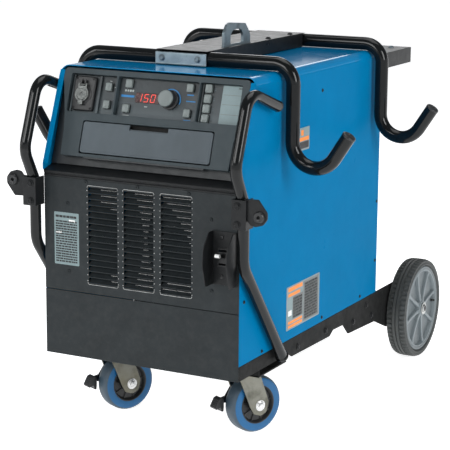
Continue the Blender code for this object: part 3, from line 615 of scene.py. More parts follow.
def lit_digit(name):
    s = Surface(name)
    glow = s.ramp(s.noise(400, 2), (0.3, (0.75, 0.02, 0.015)), (0.7, (1.0, 0.07, 0.04)))
    return s.coat(glow, s.spread(s.noise(300), 0.3, 0.45), Emission_Color=glow, Emission_Strength=0.55)


def brass(name):
    s = Surface(name)
    tarnish = s.noise(60, 5, 0.65)
    base = s.ramp(tarnish, (0.3, (0.28, 0.18, 0.06)), (0.7, (0.62, 0.44, 0.18)))
    turned = s.noise(80, 3, 0.6, (1, 14, 1))
    return s.coat(base, s.spread(turned, 0.25, 0.45), s.bump(turned, 0.00006), Metallic=1.0)


# Each look: the material slot it fills, what makes it, and that maker's settings.
LOOKS = {
    "blue_coat": ("blue_paint", powder_coat, (0.0, 0.148, 0.33), 0.34, 0.00004, 260, 0.008, 0.0, 0.04),
    # The same blue paint, lighter and glossier, for the roof: painted light on the top.
    "blue_top": ("blue_paint", powder_coat, (0.0, 0.17, 0.38), 0.12, 0.00004, 260, 0.22, 0.0, 0.04),
    "charcoal_coat": ("charcoal_paint", powder_coat, (0.0165, 0.0208, 0.023), 0.48, 0.00015, 700, 0.18),
    "black_gloss": ("black_paint", powder_coat, (0.005, 0.0058, 0.0062), 0.11, 0.00002, 260, 0.28, 0.0),
    "black_satin": ("black_paint", powder_coat, (0.008, 0.009, 0.01), 0.38, 0.00012, 520, 0.22),
    "rail_coat": ("black_paint", powder_coat, (0.014, 0.0145, 0.0145), 0.5, 0.00012, 520, 0.04),
    "bezel_grey": ("grey_plastic", moulded, (0.032, 0.044, 0.05), 0.5, 0.22),
    "door_grey": ("door_plastic", moulded, (0.064, 0.08, 0.092), 0.46, 0.22),
    # The bezel's grey moulding made darker: painted shade where it lies in shadow.
    "cheek_dark": ("grey_plastic", moulded, (0.018, 0.021, 0.023), 0.5),
    "overlay_dark": ("overlay", shade_graded_overlay),
    "overlay_grey": ("overlay", printed, (0.058, 0.076, 0.086)),
    "overlay_black": ("overlay", printed, (0.016, 0.018, 0.019)),
    "print_pale": ("overlay", printed, (0.3, 0.335, 0.33)),
    "print_grey": ("overlay", printed, (0.14, 0.155, 0.155)),
    "print_blue": ("overlay", printed, (0.012, 0.17, 0.42)),
    "print_orange": ("overlay", printed, (0.8, 0.22, 0.02)),
    "print_black": ("overlay", printed, (0.012, 0.012, 0.013)),
    "label_white": ("overlay", printed, (0.74, 0.75, 0.74), 0.35),
    "label_silver": ("overlay", printed, (0.18, 0.245, 0.255), 0.4),
    "pale_plastic": ("light_plastic", moulded, (0.135, 0.16, 0.158), 0.36, 0.4, 0.00003),
    "dark_plastic": ("black_plastic", moulded, (0.014, 0.015, 0.016), 0.36),
    "zinc": ("zinc_steel", plated, (0.22, 0.225, 0.225), (0.56, 0.57, 0.56), 0.36),
    "olive_zinc": ("zinc_steel", plated, (0.075, 0.073, 0.059), (0.215, 0.213, 0.182), 0.36, 26,
                   (0.15, 0.135, 0.088)),
    "silver": ("zinc_steel", plated, (0.45, 0.46, 0.46), (0.82, 0.82, 0.81), 0.28),
    "bar_steel": ("zinc_steel", plated, (0.16, 0.21, 0.235), (0.3, 0.375, 0.42), 0.34),
    "eye_steel": ("zinc_steel", plated, (0.085, 0.105, 0.118), (0.235, 0.29, 0.32), 0.46),
    "cap_nickel": ("cap_metal", plated, (0.035, 0.038, 0.038), (0.17, 0.18, 0.175), 0.44, 220),
    "tyre": ("tyre_rubber", rubber, (0.05, 0.055, 0.054), 0.62, (0.092, 0.098, 0.094)),
    "caster_tyre": ("caster_rubber", rubber, (0.035, 0.062, 0.088), 0.5, (0.09, 0.11, 0.13)),
    "caster_blue": ("caster_rubber", moulded, (0.004, 0.095, 0.24), 0.42),
    "hub_grey": ("wheel_plastic", moulded, (0.185, 0.215, 0.228), 0.42),
    "hub_dark": ("wheel_plastic", moulded, (0.125, 0.147, 0.157), 0.42),
    "channel_coat": ("black_paint", powder_coat, (0.01, 0.011, 0.012), 0.34, 0.00008, 520, 0.2),
    "red_window": ("display", red_window),
    "lit_digit": ("display", lit_digit),
    "laminated": ("core_steel", laminated),
    "board": ("circuit_board", circuit_board),
    "bright_aluminium": ("aluminium", plated, (0.36, 0.37, 0.38), (0.66, 0.67, 0.68), 0.33),
    "brass": ("terminal_brass", brass),
    # Near-black for the floor of the door's pocket: painted shade.
    "bore_dark": ("black_plastic", rubber, (0.006, 0.006, 0.006), 0.85, (0.012, 0.012, 0.012)),
}


def material(name):
    _, maker, *settings = LOOKS[name]
    return bpy.data.materials.get(name) or maker(name, *settings)


def dress_node(node, look):
    """A CAD node that keeps its shape gets its look."""
    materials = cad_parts[node].data.materials
    materials.clear()
    materials.append(material(look))


def loft(bm, rings, index=0):
    """Skins a row of equal point rings and closes both ends."""
    rings = [[bm.verts.new(point) for point in ring] for ring in rings]
    faces = [bm.faces.new(rings[0]), bm.faces.new(rings[-1][::-1])]
    count = len(rings[0])
    for first, second in zip(rings, rings[1:]):
        for i in range(count):
            j = (i + 1) % count
            faces.append(bm.faces.new((first[i], second[i], second[j], first[j])))
    return paint(faces, index)


def toothed(bm, profile, matrix, teeth, index=0):
    """A closed (radius, height, cut) profile turned with every other lug cut down."""
    steps = teeth * 4
    rings = []
    for radius, height, cut in profile:
        ring = []
        for i in range(steps):
            angle = i / steps * math.tau
            reach = radius - (cut if i % 4 > 1 else 0)
            point = Vector((reach * math.cos(angle), reach * math.sin(angle), height))
            ring.append(bm.verts.new(matrix @ point))
        rings.append(ring)
    faces = []
    for first, second in zip(rings, rings[1:] + rings[:1]):
        for i in range(steps):
            j = (i + 1) % steps
            faces.append(bm.faces.new((first[i], first[j], second[j], second[i])))
    return paint(faces, index)


def padded_plate(bm, low, high, radius, layers, place, index=0):
    """A rounded plate as (inset, depth) layers, from its back to its middle."""
    rings = []
    for inset, depth in layers:
        edge = rectangle((low[0] + inset, low[1] + inset), (high[0] - inset, high[1] - inset),
                         max(radius - inset * 0.6, 0.0002))
        rings.append([place(point[0], point[1], depth) for point in edge])
    return loft(bm, rings, index)


# --- cabinet --------------------------------------------------------------------------------

PANEL_SCREWS = [
    (-0.136, 0.405), (-0.0045, 0.406), (0.124, 0.404), (-0.185, 0.3526), (-0.1836, 0.1965),
    (0.179, 0.353), (0.207, 0.318), (0.206, 0.232), (0.181, 0.196),
]
SIDE_SCREWS = [
    (0.41, 0.589), (0.024, 0.1745), (0.112, 0.0425), (0.429, 0.045),
    (0.656, 0.045), (0.749, 0.2705), (0.7465, 0.119),
]
FRONT_KNOTS = [(BLUE_BOTTOM_Z, 0.0025), (LIP_Z, 0.0025), (0.4265, -0.005), (0.4395, -0.005), (0.654, 0.0775)]


def front_edge(z):
    """How far back the wrapper's front edge is at a height."""
    for (low, near), (high, far) in zip(FRONT_KNOTS, FRONT_KNOTS[1:]):
        if z <= high:
            return near + (far - near) * (z - low) / (high - low)
    return FRONT_KNOTS[-1][1]


def wrapper_fold(inset):
    """The wrapper's cross-section, that far inside its outer face."""
    x, top = HALF_WIDTH - inset, TOP_Z - inset
    up = [z for z, _ in FRONT_KNOTS[:-1]]
    corners = [(-x, z) for z in up] + [(-x, top), (x, top)] + [(x, z) for z in reversed(up)]
    radii = [0] * len(up) + [CORNER - inset] * 2 + [0] * len(up)
    return rounded(corners, radii, closed=False, steps=12)


def make_wrapper():
    bm = bmesh.new()
    skins = []
    for fold in (wrapper_fold(0), wrapper_fold(SHEET)):
        near = [bm.verts.new(at(x, front_edge(z), z)) for x, z in fold]
        far = [bm.verts.new(at(x, DEPTH, z)) for x, z in fold]
        skins.append((near, far))
    (outer_near, outer_far), (inner_near, inner_far) = skins
    for first, second in ((outer_near, outer_far), (outer_far, inner_far),
                          (inner_far, inner_near), (inner_near, outer_near)):
        for i in range(len(first) - 1):
            bm.faces.new((first[i], first[i + 1], second[i + 1], second[i]))
    for end in (0, -1):
        bm.faces.new((outer_near[end], outer_far[end], inner_far[end], inner_near[end]))
    bm.normal_update()
    # Faces that face up or down, the roof and its bends, take the lighter, glossier copy of the blue: painted
    # light on the top.
    for face in bm.faces:
        face.material_index = int(abs(face.normal.z) > 0.3)
    piece("cabinet_wrapper", bm, ["blue_coat", "blue_top"], replaces=["wrapper"], bevel=0.0007)
    bm = bmesh.new()
    rim = [(-0.0048, 0.44), (0.073, 0.6424), (0.0749, 0.6417), (-0.0029, 0.4393)]
    for side in (-1, 1):
        prism(bm, rim, (side * (HALF_WIDTH - 0.0008), side * (HALF_WIDTH - 0.0128)), side_on)
    piece("wrapper_return_flanges", bm, "blue_coat", bevel=0.0005)


def make_side_screws():
    bm = bmesh.new()
    for side in (-1, 1):
        for y, z in SIDE_SCREWS:
            screw(bm, at(side * HALF_WIDTH, y, z), (side, 0, 0), 0.0042, 0.0022)
    piece("side_screws", bm, "black_satin")


def label(name, place, size, blocks, looks):
    """A label with its printed blocks as thin films: (left, low, right, high, look) in parts of its size."""
    (u0, v0), (u1, v1) = size
    bm = bmesh.new()
    paint(prism(bm, rectangle((u0, v0), (u1, v1), 0.002), (0.0, 0.0004), place), 0)
    for left, low, right, high, look in blocks:
        near = (u0 + left * (u1 - u0), v0 + low * (v1 - v0))
        far = (u0 + right * (u1 - u0), v0 + high * (v1 - v0))
        paint(prism(bm, rectangle(near, far, 0.0004, 2), (0.0002, 0.0006), place), looks.index(look))
    piece(name, bm, looks, angle=60)


def on_right_side(u, v, t):
    return at(HALF_WIDTH + t, u, v)


def on_front(u, v, t):
    return at(u, -t, v)


def grey_rows(left, right, low, high, rows, look, draw):
    """Ragged rows of blocks that read as small print from afar, without any lettering."""
    blocks = []
    pitch = (high - low) / rows
    for row in range(rows):
        x = left
        while x < right - 0.02:
            width = min(draw.uniform(0.05, 0.16), right - x)
            blocks.append((x, low + row * pitch, x + width * 0.86, low + (row + 0.6) * pitch, look))
            x += width
    return blocks


def make_labels():
    draw = random.Random(4)
    looks = ["label_silver", "print_orange", "print_grey", "print_black", "label_white"]
    caution = [(0.05, 0.88, 0.47, 0.965, "print_orange"), (0.05, 0.76, 0.4, 0.83, "print_orange"),
               (0.05, 0.13, 0.47, 0.19, "print_orange"), (0.05, 0.04, 0.47, 0.1, "print_orange"),
               (0.05, 0.32, 0.15, 0.44, "label_white"), (0.5, 0.03, 0.97, 0.97, "print_grey"),
               (0.18, 0.22, 0.49, 0.74, "print_grey")]
    caution += grey_rows(0.54, 0.94, 0.08, 0.94, 13, "print_black", draw)
    caution += grey_rows(0.2, 0.47, 0.24, 0.72, 7, "print_black", draw)
    label("caution_label", on_right_side, ((0.235, 0.057), (0.412, 0.159)), caution, looks)
    notice = [(0.06, 0.08, 0.94, 0.38, "print_black"), (0.06, 0.42, 0.94, 0.58, "print_orange"),
              (0.3, 0.66, 0.5, 0.9, "print_orange")]
    label("notice_label", on_right_side, ((0.279, 0.464), (0.342, 0.516)), notice, looks)
    looks = ["label_silver", "print_black", "label_white"]
    plate = grey_rows(0.06, 0.92, 0.9, 0.97, 1, "print_black", draw)
    plate += grey_rows(0.06, 0.94, 0.05, 0.86, 17, "print_black", draw)
    plate += [(0.6, 0.82, 0.84, 0.87, "label_white"), (0.06, 0.6, 0.3, 0.64, "label_white")]
    label("rating_plate", on_front, ((-0.221, 0.211), (-0.156, 0.331)), plate, looks)


def blade(bm, centre, low):
    """A louvre's blade, pressed inwards from the slot's lower edge and curled up at its ends."""
    columns, reach, height = 14, 0.0115, 0.01
    thick = Vector((0, -0.0006, 0.0007))
    half = LOUVRE_WIDTH / 2
    sections = []
    for i in range(columns + 1):
        u = -math.cos(i / columns * math.pi)
        depth = math.sqrt(max(0.0, 1 - abs(u) ** 10))
        foot = at(centre + u * half, 0.0018, low - 0.0026)
        tip = foot + Vector((0, reach, height)) * depth
        belly = (foot + tip) / 2 + Vector((0, 0.001, -0.001)) * depth
        under = [foot, belly, tip]
        sections.append(under + [point + thick for point in reversed(under)])
    loft(bm, sections)


def highlight_vane_span(column, row):
    """Where the bright vane behind a louvre shows, or None: a painted highlight for the bright streaks seen
    through the slots. It narrows towards the middle rows.
    """
    left = LOUVRE_COLUMNS[column] - LOUVRE_WIDTH / 2
    offset = abs(row - 7.5) / 7.5
    if column == 1:
        middle, half = 0.72, 0.05 + 0.3 * offset**1.5
        low, high = max(middle - half, 0.05), min(middle + half, 0.96)
    elif column == 0:
        low, high = (0.42, 0.96) if row > 12 else (0.75, 0.96)
        if 1 < row < 12:
            return None
    else:
        low, high = max(0.05, 0.92 - 0.9 * offset**1.5), 0.96
        if 1 < row < 8:
            return None
    return left + low * LOUVRE_WIDTH, left + high * LOUVRE_WIDTH


def make_louvre_panel():
    sheet = bmesh.new()
    box(sheet, (-0.247, 0, SEAM_Z + 0.0008), (0.247, 0.002, LIP_Z - 0.0006))
    slots = bmesh.new()
    for centre in LOUVRE_COLUMNS:
        for row in range(LOUVRE_ROWS):
            low = LOUVRE_LOW_Z + row * LOUVRE_PITCH
            near = (centre - LOUVRE_WIDTH / 2 + 0.001, -0.01, low - 0.003)
            box(slots, near, (centre + LOUVRE_WIDTH / 2 - 0.001, 0.01, low + LOUVRE_SLOT + 0.0035))
    box(slots, *SWITCH_OPENING)
    piece("louvred_front_panel", cut_away(sheet, slots), "charcoal_coat", replaces=["louvre_panel"],
          bevel=0.0005)
    bm = bmesh.new()
    for centre in LOUVRE_COLUMNS:
        for row in range(LOUVRE_ROWS):
            blade(bm, centre, LOUVRE_LOW_Z + row * LOUVRE_PITCH)
    piece("louvre_blades", bm, "charcoal_coat", angle=50)
    make_louvre_painted_highlights()
    bm = bmesh.new()
    fold = [
        (0.0005, 0.41), (-0.0002, 0.4105), (-0.004, 0.4125), (-0.004, 0.415), (-0.0015, 0.416),
        (-0.0015, 0.418), (-0.0045, 0.419), (-0.0045, 0.4235), (-0.002, 0.4255), (0.05, 0.4405),
        (0.0505, 0.4388), (0.0015, 0.423), (0.0015, 0.41),
    ]
    prism(bm, fold, (-0.245, 0.245), side_on)
    piece("double_lip", bm, "black_satin", bevel=0.0006, angle=25)
    bm = bmesh.new()
    for x, z in PANEL_SCREWS[:6] + PANEL_SCREWS[8:]:
        screw(bm, at(x, 0, z), (0, -1, 0), 0.0048, 0.0024)
    piece("front_panel_screws", bm, "charcoal_coat")


def make_louvre_painted_highlights():
    """Painted highlights at the louvres, in bright metal: dots at the row ends, a bead over and under each
    column, and vanes behind the slots where bright streaks show through.
    """
    bm = bmesh.new()
    # Zinc dots at both ends of every row: painted highlights where the louvres' curved ends catch light.
    for centre in LOUVRE_COLUMNS:
        for side in (-1, 1):
            for row in range(LOUVRE_ROWS):
                point = at(centre + side * (LOUVRE_WIDTH / 2 + 0.0016), 0,
                           LOUVRE_LOW_Z + row * LOUVRE_PITCH + 0.001)
                dome = [(0, 0.001), (0.0008, 0.0008), (0.0013, 0.0002), (0.0013, -0.0003), (0, -0.0003)]
                lathe(bm, dome, facing(point, (0, -1, 0)), 10)
        # A bright bead over and under each column: painted highlight on the pressed edge of the column.
        half = LOUVRE_WIDTH / 2 + 0.001
        low, high = LOUVRE_LOW_Z - 0.0072, LOUVRE_LOW_Z + (LOUVRE_ROWS - 1) * LOUVRE_PITCH + 0.0125
        for edge, turn in ((low, 1), (high, -1)):
            corners = [(centre - half, edge + turn * 0.0045), (centre - half, edge), (centre + half, edge),
                       (centre + half, edge + turn * 0.0045)]
            path = rounded(corners, [0, 0.004, 0.004, 0], closed=False)
            sweep(bm, [at(x, -0.0002, z) for x, z in path], 0.0006, 8)
    piece("louvre_painted_highlights", bm, "zinc", angle=50)
    # Silver bars just behind the slots: painted highlights where bright streaks show through the louvres.
    bm = bmesh.new()
    for column in range(len(LOUVRE_COLUMNS)):
        for row in range(LOUVRE_ROWS):
            span = highlight_vane_span(column, row)
            if not span:
                continue
            low = LOUVRE_LOW_Z + row * LOUVRE_PITCH + 0.0042
            bar = [(0.0028, low + 0.0004), (0.004, low), (0.005, low + 0.0014), (0.004, low + 0.0018)]
            prism(bm, bar, span, side_on)
    piece("highlight_vanes", bm, "silver", bevel=0.0003)


def make_lower_plate():
    bm = bmesh.new()
    box(bm, (-0.247, 0, 0), (0.247, 0.0025, SEAM_Z - 0.0006))
    hem = [(-0.0003, 0.0), (-0.0003, 0.004), (0.001, 0.0052), (0.0034, 0.0052), (0.0034, 0.0)]
    prism(bm, hem, (-0.2468, 0.2468), side_on)
    piece("lower_front", bm, "charcoal_coat", replaces=["lower_front_plate"], bevel=0.0007)


# --- controls -------------------------------------------------------------------------------


def make_bezel():
    half = [(0.212, 0.0), (0.214, 0.06), (0.219, 0.098), (0.228, 0.143), (0.2345, 0.172), (0.2345, 0.198)]
    outline = half + [(-x, s) for x, s in reversed(half)]
    radii = [0.003, 0, 0, 0, 0, 0.01, 0.01, 0, 0, 0, 0, 0.003]
    face = bmesh.new()
    prism(face, rounded(outline, radii), (0, 0.02), panel_on)
    hollows = bmesh.new()
    pockets = [
        ((-0.215, POCKET_LOW), (-0.096, POCKET_HIGH)), ((-0.0925, POCKET_LOW), (0.1115, POCKET_HIGH)),
        ((0.1145, POCKET_LOW), (0.216, POCKET_HIGH)), ((-0.166, 0.007), (0.166, 0.0815)),
    ]
    for low, high in pockets:
        prism(hollows, rectangle(low, high, 0.004), (-0.01, POCKET_DEPTH), panel_on)
    piece("control_bezel_face", cut_away(face, hollows), "bezel_grey", replaces=["control_bezel"],
          bevel=0.0013, segments=3)
    bm = bmesh.new()
    # The flange behind the bezel is the same grey moulding; its darker colour is painted shade.
    prism(bm, rectangle((-0.2434, -0.0185), (0.2434, 0.194), 0.002), (0.018, 0.0215), panel_on)
    piece("control_bezel_flange", bm, "cheek_dark", bevel=0.0008)
    bm = bmesh.new()
    # The sill round the door's lower edge takes the same darkened grey: painted shade.
    prism(bm, rectangle((-0.152, -0.0035), (0.152, 0.006), 0.0015), (0.001, 0.012), panel_on)
    for side in (-1, 1):
        near, far = sorted((side * 0.153, side * 0.163))
        prism(bm, rectangle((near, 0.0015), (far, 0.0072), 0.0012), (0.0008, 0.012), panel_on)
    piece("door_sill", bm, "cheek_dark", bevel=0.0009)


def film(bm, low, high, index, depth=OVERLAY_FRONT, radius=0.0006, proud=0.0002):
    """A printed block on an overlay."""
    faces = prism(bm, rectangle(low, high, radius, 2), (depth - proud, depth + 0.0006), panel_on)
    return paint(faces, index)


def arc_film(bm, centre, inner, outer, start, end, index):
    steps = 22
    angles = [math.radians(start + (end - start) * i / steps) for i in range(steps + 1)]
    edge = [(centre[0] + outer * math.cos(a), centre[1] + outer * math.sin(a)) for a in angles]
    edge += [(centre[0] + inner * math.cos(a), centre[1] + inner * math.sin(a)) for a in reversed(angles)]
    return paint(prism(bm, edge, (OVERLAY_FRONT - 0.0002, OVERLAY_FRONT + 0.0005), panel_on), index)


def make_overlays():
    tall = (POCKET_LOW + 0.0005, POCKET_HIGH - 0.0005)
    layers = [(0.0, 0.0157), (0.0, OVERLAY_FRONT + 0.0004), (0.0004, OVERLAY_FRONT)]
    looks = ["overlay_dark", "print_pale", "print_blue", "overlay_grey"]

    bm = bmesh.new()
    padded_plate(bm, (-0.2145, tall[0]), (-0.0965, tall[1]), 0.0035, layers, panel_on)
    prism(bm, rectangle((-0.144, 0.1005), (-0.1385, 0.1845), 0.001), (0.0075, 0.014), panel_on)
    # A dark strip along the pocket's left wall: painted shade where that wall lies in shadow.
    prism(bm, rectangle((-0.2125, 0.1005), (-0.2085, 0.1845), 0.001), (0.0085, 0.014), panel_on)
    film(bm, (-0.1065, 0.161), (-0.1035, 0.1635), 1)
    film(bm, (-0.1215, 0.1745), (-0.115, 0.1765), 1)
    film(bm, (-0.1085, 0.1345), (-0.099, 0.1365), 3)
    piece("remote_overlay", bm, looks, replaces=["remote_panel"], bevel=0.0004)

    bm = bmesh.new()
    padded_plate(bm, (-0.092, tall[0]), (0.111, tall[1]), 0.0035, layers, panel_on)
    film(bm, (-0.0905, 0.1005), (0.1095, 0.1085), 3, radius=0.002, proud=0.0001)
    film(bm, (-0.0905, 0.13), (-0.052, 0.1315), 3, proud=0.0001)
    for dash in range(4):
        left = -0.079 + dash * 0.0062
        film(bm, (left, 0.1555), (left + 0.0045, 0.16), 1)
    film(bm, (-0.087, 0.143), (-0.053, 0.148), 2)
    film(bm, (-0.076, 0.1018), (-0.06, 0.1036), 1)
    film(bm, (-0.0245, 0.1235), (-0.0165, 0.126), 1)
    film(bm, (0.078, 0.157), (0.095, 0.1595), 2)
    film(bm, (0.078, 0.143), (0.101, 0.1455), 2)
    film(bm, (0.078, 0.1015), (0.095, 0.1035), 2)
    arc_film(bm, (KNOB_X, KNOB_S), 0.0228, 0.0258, -18, 112, 2)
    piece("display_overlay", bm, looks, replaces=["display_panel"], bevel=0.0003)

    bm = bmesh.new()
    padded_plate(bm, (0.115, tall[0]), (0.2155, tall[1]), 0.0035, layers, panel_on)
    # A dark strip along the pocket's left wall: painted shade where that wall lies in shadow.
    prism(bm, rectangle((0.1165, 0.1005), (0.12, 0.1845), 0.001), (0.0085, 0.014), panel_on)
    for s in (0.175, 0.1525, 0.1306, 0.1088):
        film(bm, (0.1435, s - 0.0035), (0.1475, s - 0.0005), 3)
        film(bm, (0.1435, s + 0.0015), (0.1475, s + 0.003), 3, radius=0.0003)
    piece("keypad_overlay", bm, looks, replaces=["keypad_panel"], bevel=0.0003)


def make_note_label():
    bm = bmesh.new()
    depth = OVERLAY_FRONT
    prism(bm, rectangle((0.164, 0.1003), (0.2148, 0.185), 0.0015), (depth - 0.0009, depth + 0.0004), panel_on)
    for s in (0.1215, 0.143, 0.164):
        film(bm, (0.1665, s), (0.2125, s + 0.0011), 1, depth - 0.0009, 0.0002, 0.00012)
    for stripe in range(6):
        left = 0.2015 + stripe * 0.0018
        film(bm, (left, 0.178), (left + 0.0009, 0.1822), 2, depth - 0.0009, 0.0002, 0.00012)
    piece("blank_note_strip", bm, ["label_silver", "print_grey", "print_black"], bevel=0.0002)


DIGIT_BARS = {
    "top": (0.1, 0.93, 0.9, 1.0), "middle": (0.1, 0.465, 0.9, 0.535), "bottom": (0.1, 0.0, 0.9, 0.07),
    "upper_left": (0.0, 0.54, 0.13, 0.95), "upper_right": (0.87, 0.54, 1.0, 0.95),
    "lower_left": (0.0, 0.05, 0.13, 0.46), "lower_right": (0.87, 0.05, 1.0, 0.46),
}
DIGITS = {
    1: ["upper_right", "lower_right"],
    5: ["top", "upper_left", "middle", "lower_right", "bottom"],
    0: ["top", "upper_left", "upper_right", "lower_left", "lower_right", "bottom"],
}


def make_display():
    bm = bmesh.new()
    layers = [(0.0, 0.0132), (0.0, 0.011), (0.0006, 0.0105)]
    padded_plate(bm, (-0.048, 0.1325), (0.012, 0.1545), 0.0015, layers, panel_on)
    piece("display_filter", bm, "red_window", replaces=["display_window"], bevel=0.0002)
    bm = bmesh.new()
    wide, tall, slant = 0.0108, 0.0182, 0.14
    for place, digit in enumerate((1, 5, 0)):
        left = -0.044 + place * 0.0168
        for bar in DIGITS[digit]:
            u0, v0, u1, v1 = DIGIT_BARS[bar]
            corners = [(u0, v0), (u1, v0), (u1, v1), (u0, v1)]
            leaning = [(left + u * wide + v * tall * slant, 0.1344 + v * tall) for u, v in corners]
            prism(bm, leaning, (0.01035, 0.0108), panel_on)
    piece("display_digits", bm, "lit_digit")


BUTTONS = {
    "remote_button_upper": (-0.118, 0.162), "remote_button_lower": (-0.118, 0.122),
    "display_button_left_upper": (-0.0675, 0.173), "display_button_left_lower": (-0.0675, 0.117),
    "display_button_right_upper": (0.0865, 0.173), "display_button_right_lower": (0.0865, 0.117),
    "process_button_1": (0.132, 0.175), "process_button_2": (0.132, 0.1525),
    "process_button_3": (0.132, 0.1306), "process_button_4": (0.132, 0.1088),
}


def make_buttons():
    frames = bmesh.new()
    for name, (x, s) in BUTTONS.items():
        bm = bmesh.new()
        low, high = (x - 0.00825, s - 0.00925), (x + 0.00825, s + 0.00925)
        layers = [(0.0, 0.0115), (0.0, 0.0064), (0.0004, 0.0055), (0.0012, 0.005), (0.0026, 0.0049),
                  (0.004, 0.0052), (0.0065, 0.0055)]
        padded_plate(bm, low, high, 0.0026, layers, panel_on)
        looks = ["pale_plastic", "print_grey"]
        if name.startswith("remote"):
            for bar in (-0.0026, 0.0002, 0.003):
                film(bm, (x - 0.003, s + bar), (x + 0.0035, s + bar + 0.0011), 1, 0.0054, 0.0002)
        piece(f"{name}_cap", bm, looks, name, [name], angle=40)
        outer = rectangle((low[0] - 0.0012, low[1] - 0.0012), (high[0] + 0.0012, high[1] + 0.0012), 0.003)
        inner = rectangle((low[0] - 0.0002, low[1] - 0.0002), (high[0] + 0.0002, high[1] + 0.0002), 0.0024)
        rings = []
        for edge, depth in ((outer, 0.0138), (outer, 0.0126), (inner, 0.0126), (inner, 0.0138)):
            rings.append([frames.verts.new(on_panel(p[0], depth, p[1])) for p in edge])
        for first, second in zip(rings, rings[1:] + rings[:1]):
            for i in range(len(first)):
                j = (i + 1) % len(first)
                frames.faces.new((first[i], first[j], second[j], second[i]))
    piece("button_frames", frames, "overlay_black")


def make_knob():
    out = on_panel(0, -1, 0) - on_panel(0, 0, 0)
    matrix = facing(on_panel(KNOB_X, 0, KNOB_S), out)
    bm = bmesh.new()
    body = [(0.0205, -0.0128, 0), (0.0215, -0.012, 0), (0.0215, -0.0068, 0), (0.0204, -0.0056, 0),
            (0.0188, -0.0048, 0.0006), (0.0185, 0.0075, 0.0007), (0.018, 0.0092, 0), (0.006, 0.0092, 0),
            (0.006, -0.0128, 0)]
    toothed(bm, body, matrix, 30, 1)
    face = [(0.0, 0.0122), (0.008, 0.0123), (0.015, 0.013), (0.0166, 0.013), (0.0176, 0.0124),
            (0.0182, 0.011), (0.0182, 0.0085), (0.0, 0.0085)]
    paint(lathe(bm, face, matrix, 56), 0)
    piece("encoder_dial", bm, ["pale_plastic", "dark_plastic"], "encoder_knob", ["encoder_knob"], angle=40)


def make_receptacle():
    out = on_panel(0, -1, 0) - on_panel(0, 0, 0)
    socket = facing(on_panel(RECEPTACLE_X, 0, RECEPTACLE_S), out)
    body = bmesh.new()
    layers = [(0.0, 0.013), (0.0, 0.0056), (0.0014, 0.0042), (0.0022, 0.004)]
    padded_plate(body, (-0.206, 0.104), (-0.152, 0.181), 0.005, layers, panel_on)
    bore = bmesh.new()
    lathe(bore, [(0, 0.02), (0.0156, 0.02), (0.0156, -0.01), (0, -0.01)], socket, 40)
    body = cut_away(body, bore)
    collar = [(0.0156, -0.0095), (0.0156, -0.0016), (0.0162, -0.001), (0.0184, -0.001), (0.019, -0.0016),
              (0.019, -0.0026), (0.0215, -0.0032), (0.0222, -0.0045), (0.0222, -0.006)]
    lathe(body, collar, socket, 48, closed=True)
    for side in (-1, 1):
        near, far = sorted((RECEPTACLE_X + side * 0.0036, RECEPTACLE_X + side * 0.007))
        prism(body, rectangle((near, 0.1645), (far, 0.1725), 0.0012), (-0.003, 0.005), panel_on)
    piece("remote_socket", body, "dark_plastic", replaces=["remote_receptacle"], bevel=0.0005)
    bm = bmesh.new()
    for x in (-0.201, -0.157):
        for s in (0.1095, 0.1755):
            screw(bm, on_panel(x, 0.0041, s), out, 0.003, 0.0016)
    piece("socket_screws", bm, "black_satin")
    bm = bmesh.new()
    for number in range(6):
        angle = number / 6 * math.tau
        pin = on_panel(RECEPTACLE_X + 0.008 * math.cos(angle), 0.0102, RECEPTACLE_S + 0.008 * math.sin(angle))
        lathe(bm, [(0, 0.006), (0.0008, 0.0056), (0.0011, 0.005), (0.0011, 0), (0, 0)], facing(pin, out), 12)
    piece("socket_pins", bm, "brass")


def make_receptacle_cap():
    out = on_panel(0, -1, 0) - on_panel(0, 0, 0)
    disc = facing(on_panel(RECEPTACLE_X, -0.001, RECEPTACLE_S), out)
    bm = bmesh.new()
    rim = [(0.012, 0.0012, 0), (0.015, 0.0022, 0), (0.0172, 0.0022, 0), (0.018, 0.0014, 0.0005),
           (0.018, -0.0014, 0.0005), (0.0168, -0.0018, 0), (0.012, -0.0016, 0)]
    toothed(bm, rim, disc, 32)
    lathe(bm, [(0, 0.0026), (0.003, 0.0024), (0.0048, 0.0012), (0.0125, 0.0012), (0.0125, -0.0016),
               (0, -0.0016)], disc)
    for side in (-1, 1):
        near, far = sorted((RECEPTACLE_X + side * 0.0076, RECEPTACLE_X + side * 0.0112))
        prism(bm, rounded([(near, 0.1525), (far, 0.1525), (far, 0.164), (near, 0.164)], 0.0015),
              (-0.004, 0.0002), panel_on)
    prism(bm, rectangle((RECEPTACLE_X - 0.011, 0.151), (RECEPTACLE_X + 0.011, 0.158), 0.0015),
          (-0.0038, -0.0002), panel_on)
    prism(bm, rectangle((RECEPTACLE_X - 0.0062, 0.1158), (RECEPTACLE_X + 0.0062, 0.1262), 0.0022),
          (-0.0046, -0.001), panel_on)
    axle = axle_at(Matrix(), on_panel(RECEPTACLE_X, -0.002, 0.161))
    lathe(bm, [(0, 0.0118), (0.0014, 0.0118), (0.0014, -0.0118), (0, -0.0118)], axle, 16)
    piece("socket_flip_cap", bm, "cap_nickel", "receptacle_cap", ["receptacle_cap"], bevel=0.0004)


